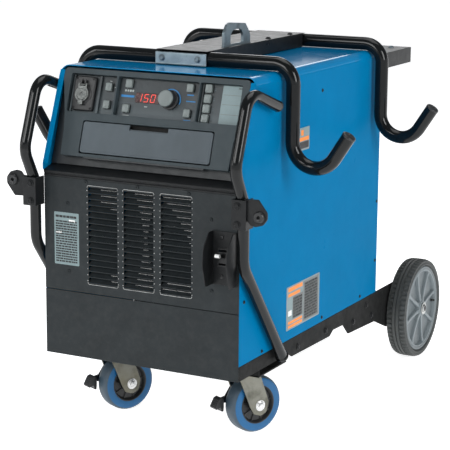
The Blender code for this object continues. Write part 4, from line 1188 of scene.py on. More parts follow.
def make_setup_door():
    door = bmesh.new()
    low, high = (0.0012 - DOOR_HALF, 0.0095), (DOOR_HALF - 0.0012, 0.0795)
    layers = [(0.0, 0.0035), (0.0, 0.0006), (0.0005, -0.0002), (0.0013, -0.0005)]
    padded_plate(door, low, high, 0.006, layers, panel_on)
    notch = bmesh.new()
    prism(notch, rectangle((-0.045, 0.067), (0.053, 0.09), 0.003), (-0.01, 0.01), panel_on)
    door = cut_away(door, notch)
    edge = rectangle((-0.16, 0.0135), (0.16, 0.0755), 0.004)
    for i, point in enumerate(edge):
        following = edge[(i + 1) % len(edge)]
        if min(point[1], following[1]) > 0.07:
            continue
        prism(door, stroke(point, following, 0.0008), (-0.0008, 0.0), panel_on)
    prism(door, rectangle((-0.046, 0.0655), (0.054, 0.07), 0.001), (0.0022, 0.0034), panel_on)
    piece("setup_door_panel", door, "door_grey", "setup_door", ["setup_door"], bevel=0.0005)
    # A near-black sheet on the floor of the door's pocket, seen through the gap round the door: painted
    # shade.
    bm = bmesh.new()
    prism(bm, rectangle((-0.1655, 0.0075), (0.1655, 0.081), 0.003), (0.0145, 0.0159), panel_on)
    piece("door_gap_painted_shade", bm, "bore_dark", bevel=0.0003)


def stroke(first, second, width):
    """A thin rectangle from one point to the next."""
    along = (Vector(second) - Vector(first)).normalized() * width / 2
    across = Vector((-along[1], along[0]))
    first, second = Vector(first) - along, Vector(second) + along
    return [first - across, second - across, second + across, first + across]


def make_controls():
    make_bezel()
    make_overlays()
    make_note_label()
    make_display()
    make_buttons()
    make_knob()
    make_receptacle()
    make_receptacle_cap()
    make_setup_door()


def make_switch():
    base = boxes(((GUARD_X - GUARD_HALF, -0.0023, GUARD_LOW_Z),
                  (GUARD_X + GUARD_HALF, -0.0003, GUARD_HIGH_Z)))
    base = cut_away(base, boxes(SWITCH_OPENING))
    corners = [(-0.0008, GUARD_HIGH_Z - 0.0005), (-0.02, GUARD_HIGH_Z - 0.0005), (-0.046, 0.3),
               (-0.05, 0.262),
               (-0.036, GUARD_LOW_Z + 0.0005), (-0.0008, GUARD_LOW_Z + 0.0005)]
    fin = rounded(corners, [0, 0.006, 0.03, 0.03, 0.006, 0], steps=8)
    for side in (-1, 1):
        middle = GUARD_X + side * (GUARD_HALF - 0.0014)
        prism(base, fin, (middle - 0.001, middle + 0.001), side_on)
    piece("switch_guard_fins", base, "black_satin", replaces=["switch_guard"], bevel=0.0006)
    bm = bmesh.new()
    for x, z in PANEL_SCREWS[6:8]:
        screw(bm, at(x, -0.0023, z), (0, -1, 0), 0.0048, 0.0024)
    piece("guard_screws", bm, "dark_plastic")
    bm = bmesh.new()
    surround = [(-0.0135, -0.0205, 0.0135, -0.0168), (-0.0135, 0.0168, 0.0135, 0.0205),
                (-0.0135, -0.017, -0.011, 0.017), (0.011, -0.017, 0.0135, 0.017)]
    for x0, z0, x1, z1 in surround:
        box(bm, (SWITCH_X + x0, -0.0052, SWITCH_Z + z0), (SWITCH_X + x1, -0.0022, SWITCH_Z + z1))
    piece("switch_surround", bm, "dark_plastic", bevel=0.0006)
    bm = bmesh.new()
    rocker = [(0.0075, -0.0135), (0.0075, 0.0135), (-0.0085, 0.0125), (-0.0085, -0.0125)]
    outline = [(0.002 + y, SWITCH_Z + z) for y, z in rocker]
    prism(bm, rounded(outline, 0.0012, steps=3), (SWITCH_X - 0.01, SWITCH_X + 0.01), side_on)
    lever = [(0.0, -0.003), (0.0, 0.007), (-0.028, 0.0118), (-0.028, 0.0046)]
    outline = [(0.002 + y, SWITCH_Z + z) for y, z in lever]
    prism(bm, outline, (SWITCH_X - 0.005, SWITCH_X + 0.005), side_on)
    tip = [(-0.0278, 0.0042), (-0.0278, 0.0122), (-0.034, 0.013), (-0.036, 0.0105), (-0.0355, 0.0068),
           (-0.033, 0.0048)]
    outline = [(0.002 + y, SWITCH_Z + z) for y, z in tip]
    paint(prism(bm, rounded(outline, 0.001, steps=3), (SWITCH_X - 0.0056, SWITCH_X + 0.0056), side_on), 1)
    piece("switch_paddle", bm, ["dark_plastic", "label_white"], "power_switch", ["power_switch"],
          bevel=0.0004)


# --- tubes and their brackets -----------------------------------------------------------------


def hanger_side(steps=20):
    """Hook end, hook, leg and top bend of the right side, as x and z."""
    hook_x = HANGER_LEG_X + HOOK_RADIUS
    bend_x, bend_z = HANGER_LEG_X - HANGER_BEND, HANGER_Z - HANGER_BEND
    outward, upward = math.cos(HOOK_END_ANGLE), math.sin(HOOK_END_ANGLE)
    end_x = hook_x + outward * HOOK_RADIUS + upward * HOOK_STRAIGHT
    end_z = HOOK_CENTRE_Z - upward * HOOK_RADIUS + outward * HOOK_STRAIGHT
    side = [(end_x, end_z)]
    for step in range(steps + 1):
        angle = -HOOK_END_ANGLE - step / steps * (math.pi - HOOK_END_ANGLE)
        side.append((hook_x + HOOK_RADIUS * math.cos(angle), HOOK_CENTRE_Z + HOOK_RADIUS * math.sin(angle)))
    for step in range(13):
        angle = step / 12 * math.pi / 2
        side.append((bend_x + HANGER_BEND * math.cos(angle), bend_z + HANGER_BEND * math.sin(angle)))
    return side


def plug(bm, path, radius, index=0):
    """The moulded plug in a tube's end: a domed lip with a shallow dimple."""
    end, before = Vector(path[0]), Vector(path[1])
    matrix = facing(end, end - before)
    profile = [(0, 0.0012), (radius * 0.35, 0.0013), (radius * 0.45, 0.003), (radius * 0.8, 0.003),
               (radius * 0.96, 0.0018), (radius * 1.015, 0.0004), (radius * 1.015, -0.0022), (0, -0.0022)]
    return paint(lathe(bm, profile, matrix, 32), index)


def make_hangers():
    for name, y in (("front_cable_hanger", FRONT_HANGER_Y), ("rear_cable_hanger", REAR_HANGER_Y)):
        side = hanger_side()
        path = [at(x, y, z) for x, z in side] + [at(-x, y, z) for x, z in reversed(side)]
        bm = bmesh.new()
        sweep(bm, path, HANGER_TUBE, 32)
        plug(bm, path, HANGER_TUBE, 1)
        plug(bm, path[::-1], HANGER_TUBE, 1)
        piece(f"{name}_tube", bm, ["black_gloss", "dark_plastic"], replaces=[name], angle=40)


def handle_path(side):
    corners = [(0.185, 0.012), (-0.012, 0.262), (-0.012, 0.398), (-0.053, 0.474), (0.0066, 0.632),
               (0.145, 0.5855)]
    radii = [0, 0.06, 0.05, 0.05, 0.044, 0]
    return [at(side * HANDLE_X, y, z) for y, z in rounded(corners, radii, closed=False, steps=14)]


def make_handles():
    for side, name in ((1, "right"), (-1, "left")):
        path = handle_path(side)
        bm = bmesh.new()
        sweep(bm, path, HANDLE_TUBE, 28)
        plug(bm, path[::-1], HANDLE_TUBE, 1)
        lathe(bm, [(HANDLE_TUBE, 0.004), (HANDLE_TUBE + 0.0028, 0), (HANDLE_TUBE + 0.0022, -0.0035),
                   (HANDLE_TUBE - 0.002, -0.004)],
              facing(path[0] + (path[1] - path[0]).normalized() * 0.004, path[1] - path[0]), 28, closed=True)
        piece(f"push_handle_{name}_tube", bm, ["black_gloss", "dark_plastic"],
              replaces=[f"push_handle_{name}"], angle=40)
        make_clamp(side, name)


def make_clamp(side, name):
    """The saddle on the handle with its lobed ear outboard. Left and right are half a turn apart."""
    def across(first, second):
        return sorted((side * (HANDLE_X + first), side * (HANDLE_X + second)))
    ear = [(0.01, 0.023), (0.0435, 0.025), (0.0645, -0.002), (0.0645, -0.016), (0.0545, -0.029),
           (0.0375, -0.034), (0.0255, -0.032), (0.019, -0.024), (0.01, -0.023)]
    radii = [0.001, 0.004, 0.01, 0.012, 0.012, 0.01, 0.006, 0.003, 0.001]
    outline = rounded(ear, radii, steps=6)
    middle = CLAMP_Z + 0.011
    bm = bmesh.new()
    placed = [(side * (HANDLE_X + x), middle + side * z) for x, z in outline]
    prism(bm, placed, (-0.03, -0.026), face_on)
    near, far = across(-0.0165, 0.0175)
    block = boxes(((near, -0.036, CLAMP_Z - 0.0322), (far, -0.0004, CLAMP_Z + 0.0322)))
    near, far = across(-0.0132, 0.0132)
    room = boxes(((near, -0.033, CLAMP_Z - 0.04), (far, 0.01, CLAMP_Z + 0.04)))
    saddle = cut_away(block, room)
    mesh = bpy.data.meshes.new("saddle")
    saddle.to_mesh(mesh)
    saddle.free()
    bm.from_mesh(mesh)
    piece(f"handle_clamp_{name}_body", bm, "black_satin", replaces=[f"handle_clamp_{name}"],
          bevel=0.0022, segments=4)
    bm = bmesh.new()
    for z in (CLAMP_Z + 0.019, CLAMP_Z - 0.021):
        hex_bolt(bm, at(side * (HANDLE_X - 0.003), -0.036, z), (0, -1, 0), 0.0062, 0.005)
    piece(f"handle_clamp_{name}_bolts", bm, "black_satin")
    bm = bmesh.new()
    lobe = facing(at(side * (HANDLE_X + 0.046), -0.03, middle - side * 0.012), (0, -1, 0))
    grip = [(0.004, 0.0), (0.004, 0.0045), (0.0075, 0.0065), (0.0105, 0.006), (0.0125, 0.0035), (0.013, 0.0)]
    lathe(bm, grip, lobe, 32, closed=True)
    piece(f"handle_clamp_{name}_lobe", bm, "dark_plastic", angle=40)


def make_hanger_clamp():
    bar_back = FRONT_HANGER_Y - HANGER_TUBE - 0.0003
    outline = [(bar_back - 0.006, 0.655), (bar_back - 0.004, 0.6572), (bar_back - 0.004, 0.6808),
               (bar_back - 0.0022, 0.6826), (bar_back, 0.6826), (bar_back, 0.655)]
    bm = bmesh.new()
    prism(bm, outline, (-0.066, 0.064), side_on)
    piece("hanger_clamp_bar", bm, "bar_steel", replaces=["hanger_clamp"], bevel=0.0008, segments=3)
    bm = bmesh.new()
    for x in (-0.049, 0.042):
        hex_bolt(bm, at(x, bar_back - 0.004, 0.669), (0, -1, 0), 0.0056, 0.0048)
    piece("hanger_clamp_bolts", bm, "eye_steel")


def make_top_channel():
    inset = Vector((CHANNEL_SHEET, CHANNEL_SHEET, CHANNEL_SHEET))
    room_low = CHANNEL_LOW + inset
    room_low.z = 0.64
    shell = cut_away(boxes((CHANNEL_LOW, CHANNEL_HIGH)), boxes((room_low, CHANNEL_HIGH - inset)))
    shell = cut_away(shell, boxes(((-0.2, 0.17, 0.64), (0.2, FRONT_HANGER_Y + 0.018, 0.6862)),
                                  ((-0.2, REAR_HANGER_Y - 0.018, 0.64), (0.2, 0.72, 0.6862))))
    slot = boxes(((EYE_X - 0.004, 0.289, 0.66), (EYE_X + 0.004, 0.4235, 0.7)))
    piece("feeder_channel", cut_away(shell, slot), "channel_coat", replaces=["top_channel"], bevel=0.0006)
    bm = bmesh.new()
    for y in (0.52, 0.64):
        hex_bolt(bm, at(0.052, y, CHANNEL_HIGH.z), (0, 0, 1), 0.005, 0.004)
    piece("feeder_channel_bolts", bm, "black_satin")


def make_lifting_eye():
    faces = (EYE_X - EYE_THICKNESS / 2, EYE_X + EYE_THICKNESS / 2)
    corners = [(0.291, 0.6535), (0.291, 0.72), (0.3045, 0.7373), (0.3195, 0.742), (0.397, 0.735),
               (0.412, 0.7196), (0.4215, 0.7048), (0.4215, 0.6535)]
    radii = [0, 0.006, 0.006, 0.008, 0.008, 0.008, 0.008, 0]
    eye = bmesh.new()
    prism(eye, rounded(corners, radii), faces, side_on)
    opening = bmesh.new()
    corners = [(0.322, 0.692), (0.3845, 0.692), (0.3845, 0.724), (0.322, 0.724)]
    prism(opening, rounded(corners, [0.004, 0.004, 0.02, 0.02], steps=8), (0.03, 0.07), side_on)
    piece("lifting_eye_plate", cut_away(eye, opening), "eye_steel", replaces=["lifting_eye"],
          bevel=0.001, segments=3)
    bm = bmesh.new()
    for foot, outward in zip(faces, (-0.003, 0.003)):
        weld_bead(bm, foot, outward)
    piece("lifting_eye_welds", bm, "eye_steel", angle=60)


def weld_bead(bm, foot, outward):
    """A rippled fillet along the eye's foot on the channel."""
    bead = sorted([(0.0, 0.0), (outward, 0.0)]) + [(0.0, 0.0024)]
    rings = []
    for step in range(53):
        swell = 1 + 0.16 * math.sin(step * 1.9)
        y = 0.2935 + step * 0.0024
        rings.append([at(foot + x * swell, y, CHANNEL_HIGH.z + z * swell) for x, z in bead])
    loft(bm, rings)


def yoke(bm, inset, low, high):
    """The bottle bracket's outline, that far inside its edge, between two heights."""
    near, far, half = 0.7605 + inset, 0.985 - inset, 0.235 - inset
    bottle = BOTTLE_RADIUS + inset
    steps = [step / 32 * math.pi for step in range(33)]
    arc = [(bottle * math.cos(angle), BOTTLE_Y - bottle * math.sin(angle)) for angle in steps]
    outline = [(-half, near), (half, near), (half, far), (bottle, far)] + arc + [(-bottle, far), (-half, far)]
    return prism(bm, outline, (low, high), flat_on)


def make_bottle_bracket():
    bracket = bmesh.new()
    yoke(bracket, 0, 0.597, 0.636)
    hollow = bmesh.new()
    yoke(hollow, 0.003, 0.58, 0.633)
    piece("bottle_yoke", cut_away(bracket, hollow), "channel_coat", replaces=["bottle_bracket"], bevel=0.001)
    bm = bmesh.new()
    for x in (-0.195, 0.195):
        for y in (0.79, 0.945):
            hex_bolt(bm, at(x, y, 0.636), (0, 0, 1), 0.0055, 0.0045)
    piece("bottle_yoke_bolts", bm, "eye_steel")
    bm = bmesh.new()
    for x in (-0.15, 0.15):
        for z in (0.606, 0.626):
            lathe(bm, [(0.003, 0.002), (0.0075, 0.002), (0.008, 0.001), (0.008, 0), (0.003, 0)],
                  facing(at(x, 0.985, z), (0, 1, 0)), 24, closed=True)
    piece("bottle_strap_eyelets", bm, "zinc")


# --- running gear -----------------------------------------------------------------------------


def make_base_frame():
    corners = [
        (0.0035, 0.000), (0.25, 0.000), (0.27, -0.011), (0.48, -0.015), (0.5, -0.004),
        (0.56, -0.006), (0.592, -0.036), (0.757, -0.044), (0.839, -0.078), (0.975, -0.078),
        (1.015, -0.05), (1.015, 0.033), (0.0035, 0.033),
    ]
    radii = [0.002, 0.008, 0.006, 0.006, 0.008, 0.008, 0.014, 0.014, 0.02, 0.02, 0.008, 0.004, 0.002]
    rail = rounded(corners, radii)
    frame_mesh = bmesh.new()
    for side in (-1, 1):
        prism(frame_mesh, rail, (side * RAIL_X - RAIL_SHEET / 2, side * RAIL_X + RAIL_SHEET / 2), side_on)
    holes = bmesh.new()
    axle = axle_at(Matrix(), at(0, WHEEL_Y, WHEEL_Z))
    lathe(holes, [(0, 0.3), (0.0112, 0.3), (0.0112, -0.3), (0, -0.3)], axle, 32)
    frame_mesh = cut_away(frame_mesh, holes)
    reach = RAIL_X - 0.0008
    cross_members = [(0.105, -0.018, 0.245, -0.014), (0.105, -0.018, 0.109, 0.0035),
                     (0.241, -0.018, 0.245, 0.0035),
                     (0.5, -0.001, 0.56, 0.0035), (0.763, 0.000, 0.7665, 0.03)]
    for near, low, far, high in cross_members:
        box(frame_mesh, (-reach, near, low), (reach, far, high))
    piece("cart_frame", frame_mesh, "rail_coat", replaces=["base_frame"], bevel=0.0008)
    bm = bmesh.new()
    for side in (-1, 1):
        for y, z in ((0.3, 0.006), (0.455, 0.006), (0.62, -0.012), (0.7, 0.012), (0.735, -0.022),
                     (0.88, 0.01)):
            hex_bolt(bm, at(side * (RAIL_X + RAIL_SHEET / 2), y, z), (side, 0, 0), 0.0058, 0.0045)
    piece("cart_frame_bolts", bm, "black_satin")


def make_bottle_tray():
    bm = bmesh.new()
    fold = [(0.745, -0.0015), (0.745, -0.036), (1.009, -0.036), (1.009, -0.0555), (1.012, -0.0555),
            (1.012, -0.033), (0.748, -0.033), (0.748, -0.0015)]
    prism(bm, rounded(fold, 0.0012, steps=3), (-0.2428, 0.2428), side_on)
    piece("bottle_tray_sheet", bm, "black_satin", replaces=["bottle_tray"], bevel=0.0006)
    bm = bmesh.new()
    for row in range(5):
        for x in range(-4, 5):
            point = at(x * 0.048 + (0.012 if row % 2 else -0.012), 0.785 + row * 0.048, -0.033)
            turn = math.radians(45 if (row + x) % 2 else -45)
            matrix = Matrix.Translation(point) @ Matrix.Rotation(turn, 4, "Z")
            matrix = matrix @ Matrix.Diagonal((1, 0.3, 1, 1))
            lathe(bm, [(0, 0.0011), (0.006, 0.0009), (0.0095, 0.0004), (0.011, -0.0004), (0, -0.0004)],
                  matrix, 16)
    piece("bottle_tray_treads", bm, "black_satin", angle=60)


def make_axle():
    bm = bmesh.new()
    matrix = axle_at(Matrix(), at(0, WHEEL_Y, WHEEL_Z))
    end = AXLE_END
    profile = [(0, end), (0.0085, end), (0.01, end - 0.0012), (0.01, -end + 0.0012), (0.0085, -end),
               (0, -end)]
    lathe(bm, profile, matrix, 32)
    for side in (-1, 1):
        washer = [(0.0101, side * (end - 0.0052)), (0.0165, side * (end - 0.0052)),
                  (0.0165, side * (end - 0.0034)), (0.0101, side * (end - 0.0034))]
        lathe(bm, washer, matrix, 32, closed=True)
    piece("rear_axle_rod", bm, "zinc", replaces=["rear_axle"], bevel=0.0003)


def make_rear_wheel(side, name):
    middle = Matrix.Translation(at(side * WHEEL_X, WHEEL_Y, WHEEL_Z))
    matrix = middle @ Matrix.Rotation(side * math.pi / 2, 4, "Y")
    body = f"rear_wheel_{name}"
    half = WHEEL_WIDTH / 2
    make_rear_tyre(name, body, matrix, half)
    make_rear_hub(name, body, matrix, half)
    bm = bmesh.new()
    stem = matrix @ Matrix.Translation((0.0, 0.09, half - 0.012))
    stem = stem @ Matrix.Rotation(math.radians(-18), 4, "X")
    valve = [(0, 0.01), (0.0022, 0.01), (0.0026, 0.009), (0.0026, 0.005), (0.0034, 0.0045), (0.0036, 0),
             (0, 0)]
    lathe(bm, valve, stem, 16)
    piece(f"rear_valve_{name}", bm, "dark_plastic", body, angle=40)
    bm = bmesh.new()
    cap = [(0, 0.0078), (0.005, 0.0076), (0.0082, 0.0062), (0.0098, 0.004), (0.0104, 0.0008),
           (0.0104, 0.0004),
           (0, 0.0004)]
    lathe(bm, cap, matrix @ Matrix.Translation((0, 0, half)), 32)
    piece(f"axle_cap_{name}", bm, "dark_plastic", body, angle=40)


def make_rear_tyre(name, body, matrix, half):
    """A tyre with a stepped shoulder, one groove on each side and lugs round its edge."""
    crown = WHEEL_RADIUS
    profile = [
        (0.112, half - 0.006, 0), (0.1135, half - 0.002, 0), (0.1165, half, 0), (0.1195, half - 0.0006, 0),
        (0.1205, half - 0.0018, 0), (0.122, half - 0.001, 0), (0.1262, half - 0.0014, 0.0004),
        (crown - 0.0018, half - 0.005, 0.003), (crown - 0.0004, half - 0.01, 0.0034),
        (crown - 0.0002, half - 0.015, 0.0034), (crown - 0.0026, half - 0.0152, 0),
        (crown - 0.0026, half - 0.0178, 0), (crown, half - 0.018, 0), (crown, 0.0016, 0),
        (crown - 0.0026, 0.0014, 0),
    ]
    profile += [(radius, -height, cut) for radius, height, cut in reversed(profile)]
    bm = bmesh.new()
    toothed(bm, profile, matrix, 62)
    piece(f"rear_tyre_{name}_tread", bm, "tyre", body, [f"rear_tyre_{name}"], angle=38)


def make_rear_hub(name, body, matrix, half):
    """A dished rim, with eight raised spokes and two rings of a paler grey on it."""
    hub = [
        (0.0106, half), (0.0165, half), (0.018, half - 0.0008), (0.0195, half - 0.003),
        (0.021, half - 0.0105),
        (0.024, half - 0.0125), (0.093, half - 0.0135), (0.0985, half - 0.0115), (0.103, half - 0.004),
        (0.105, half - 0.0026), (0.1095, half - 0.0026), (0.111, half - 0.0036), (0.1117, half - 0.007),
        (0.1117, -half + 0.007), (0.106, -half + 0.006), (0.102, half - 0.018), (0.021, half - 0.019),
        (0.019, -half), (0.0106, -half),
    ]
    bm = bmesh.new()
    lathe(bm, hub, matrix, 96, closed=True)
    piece(f"rear_hub_{name}_rim", bm, "hub_dark", body, [f"rear_hub_{name}"], angle=32)
    bm = bmesh.new()
    for spoke in range(8):
        turn = matrix @ Matrix.Rotation((spoke + 0.3) / 8 * math.tau, 4, "Z")
        rings = []
        for reach, width, top in ((0.0185, 0.0058, 0.003), (0.03, 0.0046, 0.005), (0.06, 0.0036, 0.0066),
                                  (0.09, 0.0042, 0.0064), (0.1015, 0.0062, 0.0046)):
            section = [(1.25, 0.015), (1.0, top + 0.001), (0.72, top)]
            section = [(-y, z) for y, z in section] + section[::-1]
            rings.append([turn @ Vector((reach, y * width, half - z)) for y, z in section])
        loft(bm, rings)
    ring = [(0.0975, half - 0.012), (0.099, half - 0.0042), (0.1, half - 0.0032), (0.103, half - 0.0032),
            (0.104, half - 0.006)]
    lathe(bm, ring, matrix, 96, closed=True)
    ring = [(0.0107, half - 0.004), (0.0107, half + 0.0004), (0.016, half + 0.0006), (0.0205, half - 0.0015),
            (0.0225, half - 0.01)]
    lathe(bm, ring, matrix, 48, closed=True)
    piece(f"rear_hub_{name}_spokes", bm, "hub_grey", body, angle=40)


def make_caster(side, name):
    place = caster_place(side)

    def leg_on(u, v, t):
        """Outlines drawn in the caster's own y and z, with their thickness across it."""
        return place @ Vector((t, u, v))

    make_caster_plate(side, name)
    make_caster_fork(name, place, leg_on)
    make_caster_wheel(name, place)
    make_brake(name, place, leg_on)


def make_caster_plate(side, name):
    x = side * CASTER_X
    bm = bmesh.new()
    plate = rectangle((x - 0.0475, CASTER_Y - 0.042), (x + 0.0475, CASTER_Y + 0.042), 0.008)
    prism(bm, plate, (-0.0225, -0.0185), flat_on)
    king = [(0.0, 0.0075), (0.018, 0.0075), (0.0225, 0.0068), (0.0255, 0.004), (0.0262, 0.0), (0, 0)]
    lathe(bm, king, facing(at(x, CASTER_Y, -0.0222), (0, 0, -1)), 40)
    for u in (-0.036, 0.036):
        for v in (-0.03, 0.03):
            hex_bolt(bm, at(x + u, CASTER_Y + v, -0.0225), (0, 0, -1), 0.0055, 0.0045)
    piece(f"caster_top_plate_{name}", bm, "olive_zinc", replaces=[f"caster_plate_{name}"], bevel=0.0006)


def make_caster_fork(name, place, leg_on):
    """The stamped yoke and the axle bolt, whose head shows on the near side only."""
    low = CASTER_AXLE_Z
    body = f"caster_fork_{name}"
    bm = bmesh.new()
    crown = rectangle((-0.0295, -0.034), (0.0295, 0.036), 0.01)
    prism(bm, crown, (-0.0355, -0.031), lambda u, v, t: leg_on(v, t, u))
    corners = [
        (-0.028, -0.0315), (0.03, -0.0315), (0.056, low + 0.006), (0.05, low - 0.018),
        (0.034, low - 0.025), (0.014, low - 0.018), (0.004, low),
    ]
    leg = rounded(corners, [0.001, 0.003, 0.012, 0.01, 0.01, 0.01, 0.012], steps=6)
    for across in (-LEG_X, LEG_X):
        prism(bm, leg, (across - 0.002, across + 0.002), leg_on)
    race = [(0.012, -0.03), (0.024, -0.0298), (0.0262, -0.0312), (0.012, -0.0312)]
    lathe(bm, race, place, 40, closed=True)
    piece(f"caster_fork_{name}_yoke", bm, "olive_zinc", body, [f"caster_fork_{name}"], bevel=0.001,
          segments=3)
    bm = bmesh.new()
    outward = place.to_3x3() @ Vector((1, 0, 0))
    dome = [(0.0, 0.0014), (0.0125, 0.0014), (0.013, 0.0008), (0.013, -0.0003), (0, -0.0003)]
    for turn in (-1, 1):
        face = leg_on(CASTER_TRAIL, low, turn * (LEG_X + 0.002))
        lathe(bm, dome, facing(face, outward * turn), 32)
    hex_bolt(bm, face + outward * 0.0013, outward, 0.0078, 0.0052)
    end = [(0, 0.0072), (0.0036, 0.0072), (0.0045, 0.0066), (0.0045, 0), (0, 0)]
    lathe(bm, end, facing(face, outward), 24)
    rod = [(0, 0.03), (0.0058, 0.03), (0.0058, -0.03), (0, -0.03)]
    lathe(bm, rod, axle_at(place, (0, CASTER_TRAIL, low)), 24)
    piece(f"caster_axle_{name}", bm, "silver", body, bevel=0.0003)


def mirrored(profile):
    """A wheel's (radius, height) profile with its other side added."""
    return profile + [(radius, -height) for radius, height in reversed(profile)]


def make_caster_wheel(name, place):
    """A blue-sided tyre on a black core with ribs."""
    half = CASTER_WIDTH / 2
    matrix = axle_at(place, (0, CASTER_TRAIL, CASTER_AXLE_Z))
    wheel = f"caster_wheel_{name}"
    bm = bmesh.new()
    tread = [(0.044, half - 0.0012), (0.048, half - 0.0004), (0.059, half), (0.062, half - 0.0016),
             (0.0648, half - 0.0046), (0.0664, half - 0.0086), (CASTER_RADIUS, half - 0.013)]
    to_wheel = matrix.inverted()
    for face in lathe(bm, mirrored(tread), matrix, 96, closed=True):
        reach = (to_wheel @ face.calc_center_median()).to_2d().length
        face.material_index = 1 if reach > CASTER_BLUE_RADIUS else 0
    piece(f"caster_tyre_{name}", bm, ["caster_blue", "caster_tyre"], wheel, [wheel], angle=35)
    bm = bmesh.new()
    core = [(0.0068, half + 0.002), (0.0135, half + 0.002), (0.015, half + 0.0012), (0.017, half - 0.006),
            (0.02, half - 0.0072), (0.0385, half - 0.0078), (0.0415, half - 0.002), (0.0436, half - 0.0002),
            (0.0452, half - 0.0006), (0.0456, half - 0.004)]
    lathe(bm, mirrored(core), matrix, 64, closed=True)
    section = ((-0.0016, 0.0125), (-0.0011, 0.0158), (0.0011, 0.0158), (0.0016, 0.0125))
    for turn in (-1, 1):
        for rib in range(9):
            spin = matrix @ Matrix.Rotation((rib + 0.5) / 9 * math.tau, 4, "Z")
            placed = [[spin @ Vector((reach, y, turn * z)) for y, z in section] for reach in (0.016, 0.04)]
            loft(bm, placed)
    piece(f"caster_core_{name}", bm, "dark_plastic", wheel, angle=35)


def make_brake(name, place, leg_on):
    """The brake: an arm outside the fork's far leg that runs forward to a ridged foot pad."""
    low = CASTER_AXLE_Z
    pad = [
        (-0.04, low + 0.015), (-0.045, low + 0.021), (-0.053, low + 0.018), (-0.0635, low - 0.001),
        (-0.061, low - 0.0055), (-0.049, low - 0.001), (-0.046, low - 0.012), (-0.041, low - 0.012),
        (-0.04, low - 0.003),
    ]
    arm = [
        (0.018, low + 0.04), (0.018, low + 0.05), (0.014, low + 0.053), (0.004, low + 0.053),
        (-0.001, low + 0.047), (-0.023, low + 0.0165), (-0.043, low + 0.013), (-0.043, low),
        (-0.016, low + 0.001),
    ]
    bm = bmesh.new()
    prism(bm, rounded(pad, 0.0015, steps=3), (-0.035, -0.012), leg_on)
    prism(bm, rounded(arm, 0.003, steps=4), (-0.035, -0.0302), leg_on)
    top, down = Vector((-0.0542, low + 0.0158)), Vector((-0.0105, -0.019)).normalized()
    out = Vector((down.y, -down.x))
    for step in range(4):
        foot = top + down * step * 0.0044
        corners = ((0.0, -0.0004), (0.0022, -0.0004), (0.0017, 0.0009), (0.0005, 0.0009))
        ridge = [foot + down * along + out * height for along, height in corners]
        prism(bm, ridge, (-0.0342, -0.0128), leg_on)
    pin = [(0, 0.0045), (0.003, 0.0045), (0.0035, 0.004), (0.0035, -0.006), (0.0028, -0.0068), (0, -0.007)]
    lathe(bm, pin, axle_at(place, (-0.0295, 0.01, low + 0.045)), 20)
    pedal = f"brake_pedal_{name}"
    piece(f"{pedal}_lever", bm, "dark_plastic", pedal, [pedal], bevel=0.0006)


# --- rear and inside --------------------------------------------------------------------------


def make_rear():
    dress_node("rear_panel", "black_satin")
    make_rear_screws()
    make_fan_guard()
    for name, x in TERMINALS.items():
        make_terminal(name, x)
    make_gland()


def make_rear_screws():
    spots = [(side * 0.232, z) for side in (-1, 1) for z in (0.06, 0.26, 0.46, 0.6)]
    spots += [(side * 0.11, z) for side in (-1, 1) for z in (0.636, FAN_Z - 0.11, FAN_Z + 0.11)]
    bm = bmesh.new()
    for x, z in spots:
        screw(bm, at(x, BACK_Y - 0.0003, z), (0, 1, 0), 0.0042, 0.0022)
    piece("rear_panel_screws", bm, "eye_steel")


def make_fan_guard():
    """Four wire rings over the grille, held by four wire spokes."""
    bm = bmesh.new()
    wire = 0.0016
    matrix = facing(at(0, BACK_Y + 0.0022, FAN_Z), (0, 1, 0))
    for radius in (0.03, 0.056, 0.082, 0.108):
        angles = (i / 8 * math.tau for i in range(8))
        ring = [(radius + wire * math.cos(a), wire * math.sin(a)) for a in angles]
        lathe(bm, ring, matrix, 72, closed=True)
    for spoke in range(4):
        angle = math.radians(45 + 90 * spoke)
        reaches = (0.028, 0.114)
        ends = [at(r * math.cos(angle), BACK_Y + 0.0016, FAN_Z + r * math.sin(angle)) for r in reaches]
        sweep(bm, ends, 0.0014, 8)
    piece("fan_guard_wires", bm, "zinc", angle=50)


def make_terminal(name, x):
    """A threaded brass stud with two nuts, on a black insulating collar."""
    matrix = facing(at(x, BACK_Y, TERMINAL_Z), (0, 1, 0))
    bm = bmesh.new()
    collar = [(0.006, 0.0004), (0.024, 0.0004), (0.024, 0.004), (0.0225, 0.0078), (0.016, 0.0098),
              (0.015, 0.01), (0.015, 0.012), (0.006, 0.012)]
    paint(lathe(bm, collar, matrix, 40, closed=True), 1)
    lathe(bm, [(0, 0.015), (0.0125, 0.015), (0.0135, 0.014), (0.0135, 0.0115), (0, 0.0115)], matrix, 6)
    thread = [(0, 0.0458), (0.0048, 0.0458)]
    for turn in range(15):
        height = 0.0445 - turn * 0.0019
        thread += [(0.006, height), (0.0053, height - 0.001)]
    thread += [(0.0053, 0.014), (0, 0.014)]
    lathe(bm, thread, matrix, 24)
    nut = [(0, 0.023), (0.0098, 0.023), (0.0108, 0.0222), (0.0108, 0.0158), (0.0098, 0.015), (0, 0.015)]
    lathe(bm, nut, matrix, 6)
    piece(f"{name}_stud", bm, ["brass", "dark_plastic"], replaces=[name], angle=32)


